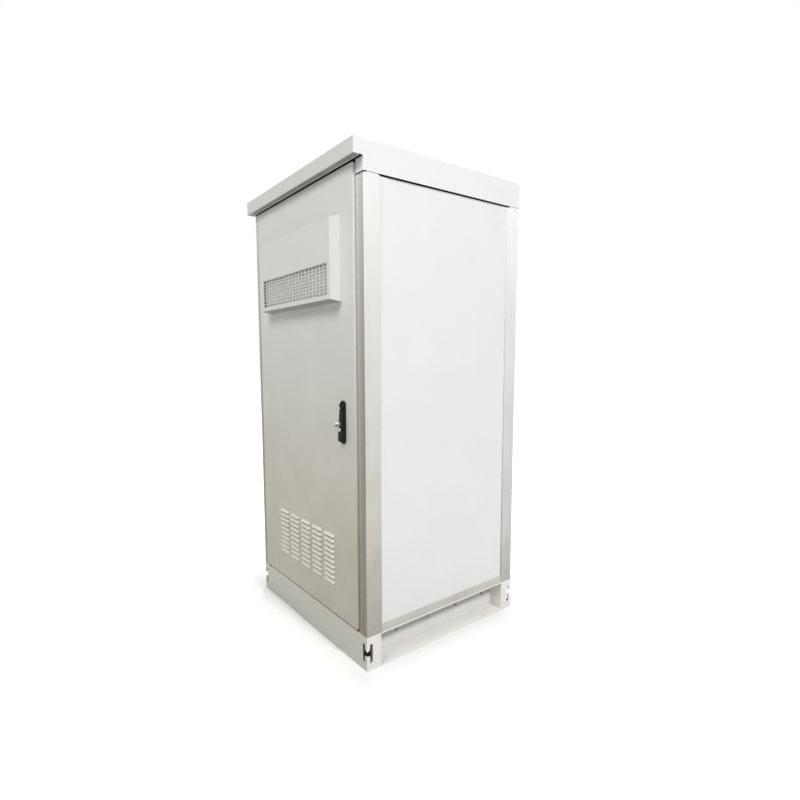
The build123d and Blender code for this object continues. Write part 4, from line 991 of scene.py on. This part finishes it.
# Key, lock plug and button: stamped and turned brass with a bright nickel plating.
# The upper half of the key's bow is painted bright as a highlight, and its lower half dark as painted shade.
key_low, key_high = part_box("door_key")
key_middle = (key_low.z + key_high.z) / 2
key_highlight_blend = 0.002
key_metal = bright_plate("key_metal", (0.15, 0.13, 0.105, 1), roughness=0.24)
key_tree = key_metal.node_tree
key_shader = key_tree.nodes["Principled BSDF"]
key_shader.inputs["Metallic"].default_value = 0.35
key_shaded_half = key_shader.inputs["Base Color"].links[0].from_socket
key_place = add_node(key_tree, "ShaderNodeTexCoord")
key_axes = add_node(key_tree, "ShaderNodeSeparateXYZ")
key_tree.links.new(key_place.outputs["Object"], key_axes.inputs[0])
key_highlight_mask = ramp_between(
    key_tree, key_axes.outputs["Z"], key_middle - key_highlight_blend, key_middle + key_highlight_blend
)
key_colour = mix_colours(key_tree, key_highlight_mask, key_shaded_half, (0.97, 0.95, 0.90, 1))
key_tree.links.new(key_colour, key_shader.inputs["Base Color"])
refinish(key_metal, "door_key")
plug_plate = bright_plate("plug_plate", (0.20, 0.195, 0.185, 1), roughness=0.30)
refinish(plug_plate, "lock_plug")
button_plate = bright_plate("button_plate", (0.40, 0.395, 0.375, 1), roughness=0.26)
refinish(button_plate, "release_button")

# Floor: a plain pale studio sheet that runs out to the backdrop without a visible edge.
# It glows where it is seen, less so close to the plinth, so that only a faint shadow stays there.
floor_mesh = bpy.data.meshes.new("studio_floor")
floor_shape = bmesh.new()
bmesh.ops.create_grid(floor_shape, x_segments=1, y_segments=1, size=40)
floor_shape.to_mesh(floor_mesh)
floor_shape.free()
studio_floor = bpy.data.objects.new("studio_floor", floor_mesh)
scene.collection.objects.link(studio_floor)
floor_finish, floor_tree, floor_shader = new_finish("studio_floor")
floor_shader.inputs["Base Color"].default_value = (0.70, 0.70, 0.69, 1)
floor_shader.inputs["Roughness"].default_value = 0.9
floor_shader.inputs["Specular IOR Level"].default_value = 0.1
floor_glow = add_node(floor_tree, "ShaderNodeEmission", values={"Color": (1, 1, 1, 1)})
floor_rays = add_node(floor_tree, "ShaderNodeLightPath")
floor_seen = chain_maths(
    floor_tree, "MAXIMUM", floor_rays.outputs["Is Camera Ray"], floor_rays.outputs["Is Glossy Ray"]
)
floor_seen = chain_maths(
    floor_tree, "MAXIMUM", floor_seen, floor_rays.outputs["Is Transmission Ray"]
)
floor_place = add_node(floor_tree, "ShaderNodeTexCoord")
floor_axes = add_node(floor_tree, "ShaderNodeSeparateXYZ")
floor_tree.links.new(floor_place.outputs["Object"], floor_axes.inputs[0])
floor_across = chain_maths(floor_tree, "ABSOLUTE", floor_axes.outputs["X"], 0.0)
floor_along = chain_maths(floor_tree, "ABSOLUTE", floor_axes.outputs["Y"], 0.0)
floor_reach = chain_maths(floor_tree, "MAXIMUM", floor_across, floor_along)
plinth_half = 0.40
plinth_blur = 0.005
shadow_reach = 0.90
floor_open = ramp_between(
    floor_tree, floor_reach, plinth_half - plinth_blur, plinth_half + plinth_blur
)
floor_fade = ramp_between(floor_tree, floor_reach, plinth_half, shadow_reach, 0.14, 0.85)
floor_fade = chain_maths(floor_tree, "MULTIPLY", floor_fade, floor_open)
floor_light = chain_maths(floor_tree, "MULTIPLY", floor_seen, floor_fade)
floor_tree.links.new(floor_light, floor_glow.inputs["Strength"])
floor_sum = add_node(floor_tree, "ShaderNodeAddShader")
floor_end = floor_tree.nodes["Material Output"]
floor_tree.links.new(floor_shader.outputs[0], floor_sum.inputs[0])
floor_tree.links.new(floor_glow.outputs[0], floor_sum.inputs[1])
floor_tree.links.new(floor_sum.outputs[0], floor_end.inputs["Surface"])
floor_mesh.materials.append(floor_finish)

# Studio light: a pale room with three soft lamps. A small one stands high on the right, a larger one
# in front, and a large one behind on the left, which keeps the far sides from going grey.
world = bpy.data.worlds.new("studio_room")
scene.world = world
world.use_nodes = True
room = world.node_tree
room_light = room.nodes["Background"]
room_light.inputs["Color"].default_value = (1, 1, 0.99, 1)
room_light.inputs["Strength"].default_value = 0.30
room_seen = add_node(room, "ShaderNodeBackground", values={"Color": (1, 1, 1, 1), "Strength": 1.0})
room_rays = add_node(room, "ShaderNodeLightPath")
room_mix = add_node(room, "ShaderNodeMixShader")
room_share = chain_maths(
    room, "MAXIMUM", room_rays.outputs["Is Camera Ray"], room_rays.outputs["Is Glossy Ray"]
)
room_share = chain_maths(room, "MAXIMUM", room_share, room_rays.outputs["Is Transmission Ray"])
room.links.new(room_share, room_mix.inputs[0])
room.links.new(room_light.outputs[0], room_mix.inputs[1])
room.links.new(room_seen.outputs[0], room_mix.inputs[2])
room.links.new(room_mix.outputs[0], room.nodes["World Output"].inputs["Surface"])


def soft_lamp(name, place, target, size, power):
    """A square area lamp that faces a target."""
    lamp = bpy.data.lights.new(name, "AREA")
    lamp.shape = "SQUARE"
    lamp.size = size
    lamp.energy = power
    holder = bpy.data.objects.new(name, lamp)
    scene.collection.objects.link(holder)
    holder.location = place
    holder.rotation_mode = "QUATERNION"
    holder.rotation_quaternion = (Vector(target) - Vector(place)).to_track_quat("-Z", "Y")


soft_lamp("right_lamp", (7.4, -0.3, 8.5), (0.4, 0, 0.9), size=1.2, power=610)
soft_lamp("front_lamp", (1.55, -3.75, 4.9), (0, -0.4, 1.2), size=2.2, power=165)
soft_lamp("rear_lamp", (-4.6, 4.9, 5.6), (-0.2, 0.2, 0.9), size=2.5, power=290)

# Camera: where the photograph was taken from, close to the front right corner at waist height.
# Its wide lens is shifted and a little rolled, as the edges of the box in the photograph show.
view_azimuth = radians(56.39)
view_elevation = radians(5.50)
view_roll = radians(-0.87)
backward = Vector(
    (
        sin(view_azimuth) * cos(view_elevation),
        -cos(view_azimuth) * cos(view_elevation),
        sin(view_elevation),
    )
)
level_right = Vector((cos(view_azimuth), sin(view_azimuth), 0))
level_up = backward.cross(level_right)
camera_right = cos(view_roll) * level_right + sin(view_roll) * level_up
camera_up = -sin(view_roll) * level_right + cos(view_roll) * level_up
lens = bpy.data.cameras.new("photo_camera")
lens.sensor_width = 36
lens.lens = 21.951
lens.shift_x = 0.0871
lens.shift_y = 0.005
camera = bpy.data.objects.new("photo_camera", lens)
scene.collection.objects.link(camera)
camera.matrix_world = (
    Matrix.Translation((1.6861, -1.3943, 1.1085))
    @ Matrix((camera_right, camera_up, backward)).transposed().to_4x4()
)
scene.camera = camera
